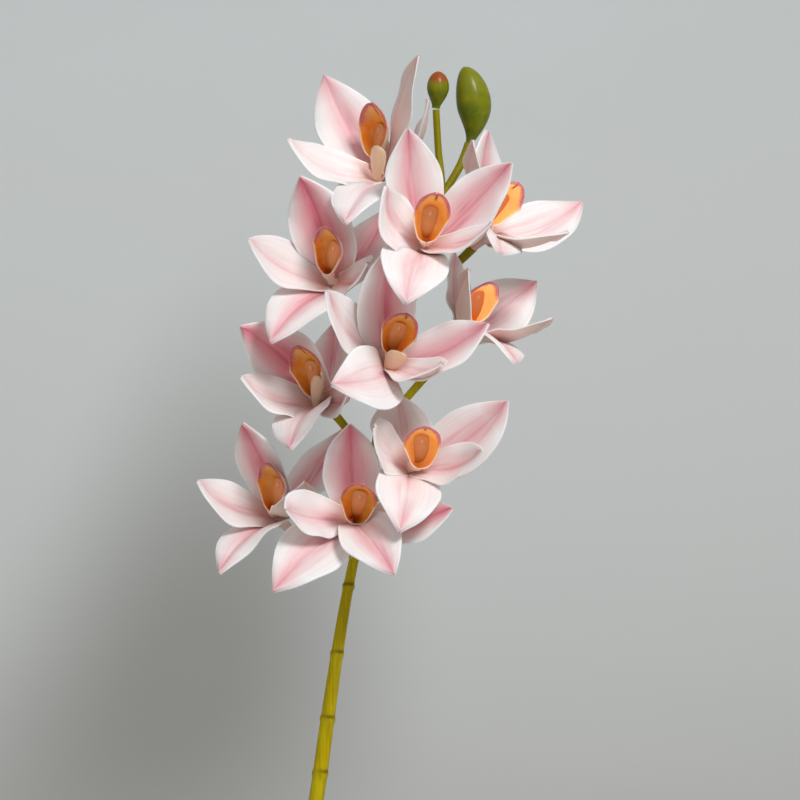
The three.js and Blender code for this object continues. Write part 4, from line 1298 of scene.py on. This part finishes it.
class ORCHID_OT_shoots(bpy.types.Operator):
    """Makes the bulbs and their fans of strap leaves"""

    bl_idname = "orchid.shoots"
    bl_label = "Shoots"

    def execute(self, context):
        settings = context.scene.orchid_plant
        leaf_material = strap_leaf(settings)
        bulb_material = bulb_skin(settings)
        for number, (name, shoot) in enumerate(SHOOTS.items()):
            rng = random.Random(number)
            x, y = shoot["at"]
            base = BARK["top"] - shoot["sunk"]
            top = base + shoot["height"] + GAP
            bulb = Shell("along", "dry")
            add_bulb(bulb, shoot, base)
            bulb.piece(f"{name}_pseudobulb", bulb_material, f"{name}_bulb", slot="bulb")

            fan = Shell("along", "across", "inside", "seed")
            add_lathe(fan, COLLAR, 24, at=(x, y, top), across=0.4)
            for leaf in shoot["leaves"]:
                add_leaf(fan, leaf, Vector((x, y, top + 1)), rng)
            fan.piece(f"{name}_strap_leaves", leaf_material, f"{name}_leaves", slot="leaf")
        return {"FINISHED"}


def add_stalk(shell, height, end, axis):
    """The stalk of one flower, which leaves the spike at a height and ends along an axis."""
    start = spike_line(spike_share(height))
    pull = (end - start).length * STALK["pull"]
    line = bezier(start, start.lerp(end, STALK["pull"]), end - pull * axis, end)

    def radius(t, turn):
        collar = STALK["collar"] * math.exp(-((t / STALK["collar_share"]) ** 2))
        return (STALK["root"] + (STALK["end"] - STALK["root"]) * t**3) / 2 + collar

    add_tube(shell, line, radius, rows=28, sides=18)


class ORCHID_OT_spike(bpy.types.Operator):
    """Makes the flower spike, with its leaf scars and the stalks of its flowers"""

    bl_idname = "orchid.spike"
    bl_label = "Flower spike"

    def execute(self, context):
        shell = Shell("ring")

        def radius(t, turn):
            z = spike_line(t).z
            swell = sum(SCAR["proud"] * math.exp(-(((z - ring) / SCAR["half"]) ** 2)) for ring in RINGS)
            return spike_girth(z) / 2 + swell + 0.06 * math.cos(7 * turn)

        add_tube(shell, spike_line, radius, rows=460, sides=28)
        above, soft = SCAR["shade_above"], SCAR["shade_half"]
        shell.values["ring"] = [
            max(math.exp(-(((point.z - ring - above) / soft) ** 2)) for ring in RINGS)
            for point in shell.points
        ]
        for bloom in BLOOMS.values():
            axis = heading(*bloom["faces"])
            add_stalk(shell, bloom["stalk"], throat_of(bloom) - (OVARY["length"] + GAP) * axis, axis)
        for bud in BUDS.values():
            if "stalk" in bud:
                foot, middle, _ = map(Vector, bud["line"])
                axis = (middle - foot).normalized()
                add_stalk(shell, bud["stalk"], foot - GAP * axis, axis)
        shell.piece("flower_stem", green_stem(context.scene.orchid_plant), "flower_spike", slot="stem")
        return {"FINISHED"}


def add_bud(shell, bud, ripe):
    """A bud of three shut sepals, with a shallow seam between each two."""
    girth, belly = bud["girth"], bud["belly"]
    third, end = 2.094, BUD["end"]

    def radius(t, turn):
        if t < belly:
            swell = math.sin(math.pi / 2 * t / belly) ** 1.2
        else:
            swell = max(0, 1 - ((t - belly) / (1 - belly)) ** 2) ** 0.62
        seam = math.exp(-(((turn % third - third / 2) / BUD["seam_turn"]) ** 2)) * math.sin(math.pi * t)
        full = end + (girth / 2 - end) * swell + BUD["root"] * (1 - t) ** 6
        return max(0.05, full - BUD["seam"] * seam - BUD["point"] * t**30)

    add_tube(shell, bezier(*map(Vector, bud["line"])), radius, rows=64, sides=48, ripe=ripe)


class ORCHID_OT_buds(bpy.types.Operator):
    """Makes the two closed buds"""

    bl_idname = "orchid.buds"
    bl_label = "Buds"

    def execute(self, context):
        material = bud_skin(context.scene.orchid_plant)
        for name, bud in BUDS.items():
            shell = Shell("along", "ripe")
            add_bud(shell, bud, ripe=float(name == "bud_top"))
            shell.piece(f"{name}_closed", material, name, slot="bud")
        return {"FINISHED"}


class ORCHID_OT_blooms(bpy.types.Operator):
    """Makes the open blooms, each of tepals, a lip and a column"""

    bl_idname = "orchid.blooms"
    bl_label = "Blooms"

    def execute(self, context):
        settings = context.scene.orchid_bloom
        tepal_material = tepal_tissue(settings)
        lip_material = lip_tissue(settings)
        column_material = column_tissue(settings)
        for number, (name, bloom) in enumerate(BLOOMS.items()):
            rng = random.Random(number)
            shell = Shell("along", "across", "inside", "rosy", "seed")
            for tepal in bloom["tepals"]:
                add_tepal(shell, bloom, tepal, settings, rng)
            add_ovary(shell, bloom)
            shell.piece(f"{name}_petals", tepal_material, f"{name}_tepals", slot="tepal")
            scoop = Shell("along", "across", "inside", "tongue", "edge", "glow")
            add_lip(scoop, bloom, rng)
            if "tongue" in bloom:
                add_tongue(scoop, bloom)
            scoop.piece(f"{name}_scoop", lip_material, f"{name}_lip", slot="lip")
            club = Shell("along", "cap")
            add_column(club, bloom)
            club.piece(f"{name}_club", column_material, f"{name}_column", slot="column")
        return {"FINISHED"}


OPERATORS = (
    ORCHID_OT_stage, ORCHID_OT_pot, ORCHID_OT_bark, ORCHID_OT_shoots, ORCHID_OT_spike, ORCHID_OT_buds,
    ORCHID_OT_blooms,
)
SETTINGS = {
    "orchid_bloom": BloomSettings, "orchid_plant": PlantSettings, "orchid_pot": PotSettings,
    "orchid_stage": StageSettings,
}


class ORCHID_PT_panel(bpy.types.Panel):
    """Lists the pieces of the orchid in the sidebar"""

    bl_idname = "ORCHID_PT_panel"
    bl_label = "Potted Orchid"
    bl_space_type = "VIEW_3D"
    bl_region_type = "UI"
    bl_category = "Orchid"

    def draw(self, context):
        for operator in OPERATORS:
            self.layout.operator(operator.bl_idname)


CLASSES = (*SETTINGS.values(), *OPERATORS, ORCHID_PT_panel)


def register():
    for each in CLASSES:
        bpy.utils.register_class(each)
    for name, settings in SETTINGS.items():
        setattr(bpy.types.Scene, name, PointerProperty(type=settings))


def unregister():
    for name in SETTINGS:
        delattr(bpy.types.Scene, name)
    for each in reversed(CLASSES):
        bpy.utils.unregister_class(each)


def main():
    register()
    bpy.ops.orchid.stage()
    bpy.ops.orchid.pot()
    bpy.ops.orchid.bark()
    bpy.ops.orchid.shoots()
    bpy.ops.orchid.spike()
    bpy.ops.orchid.buds()
    bpy.ops.orchid.blooms()


if __name__ == "__main__":
    main()
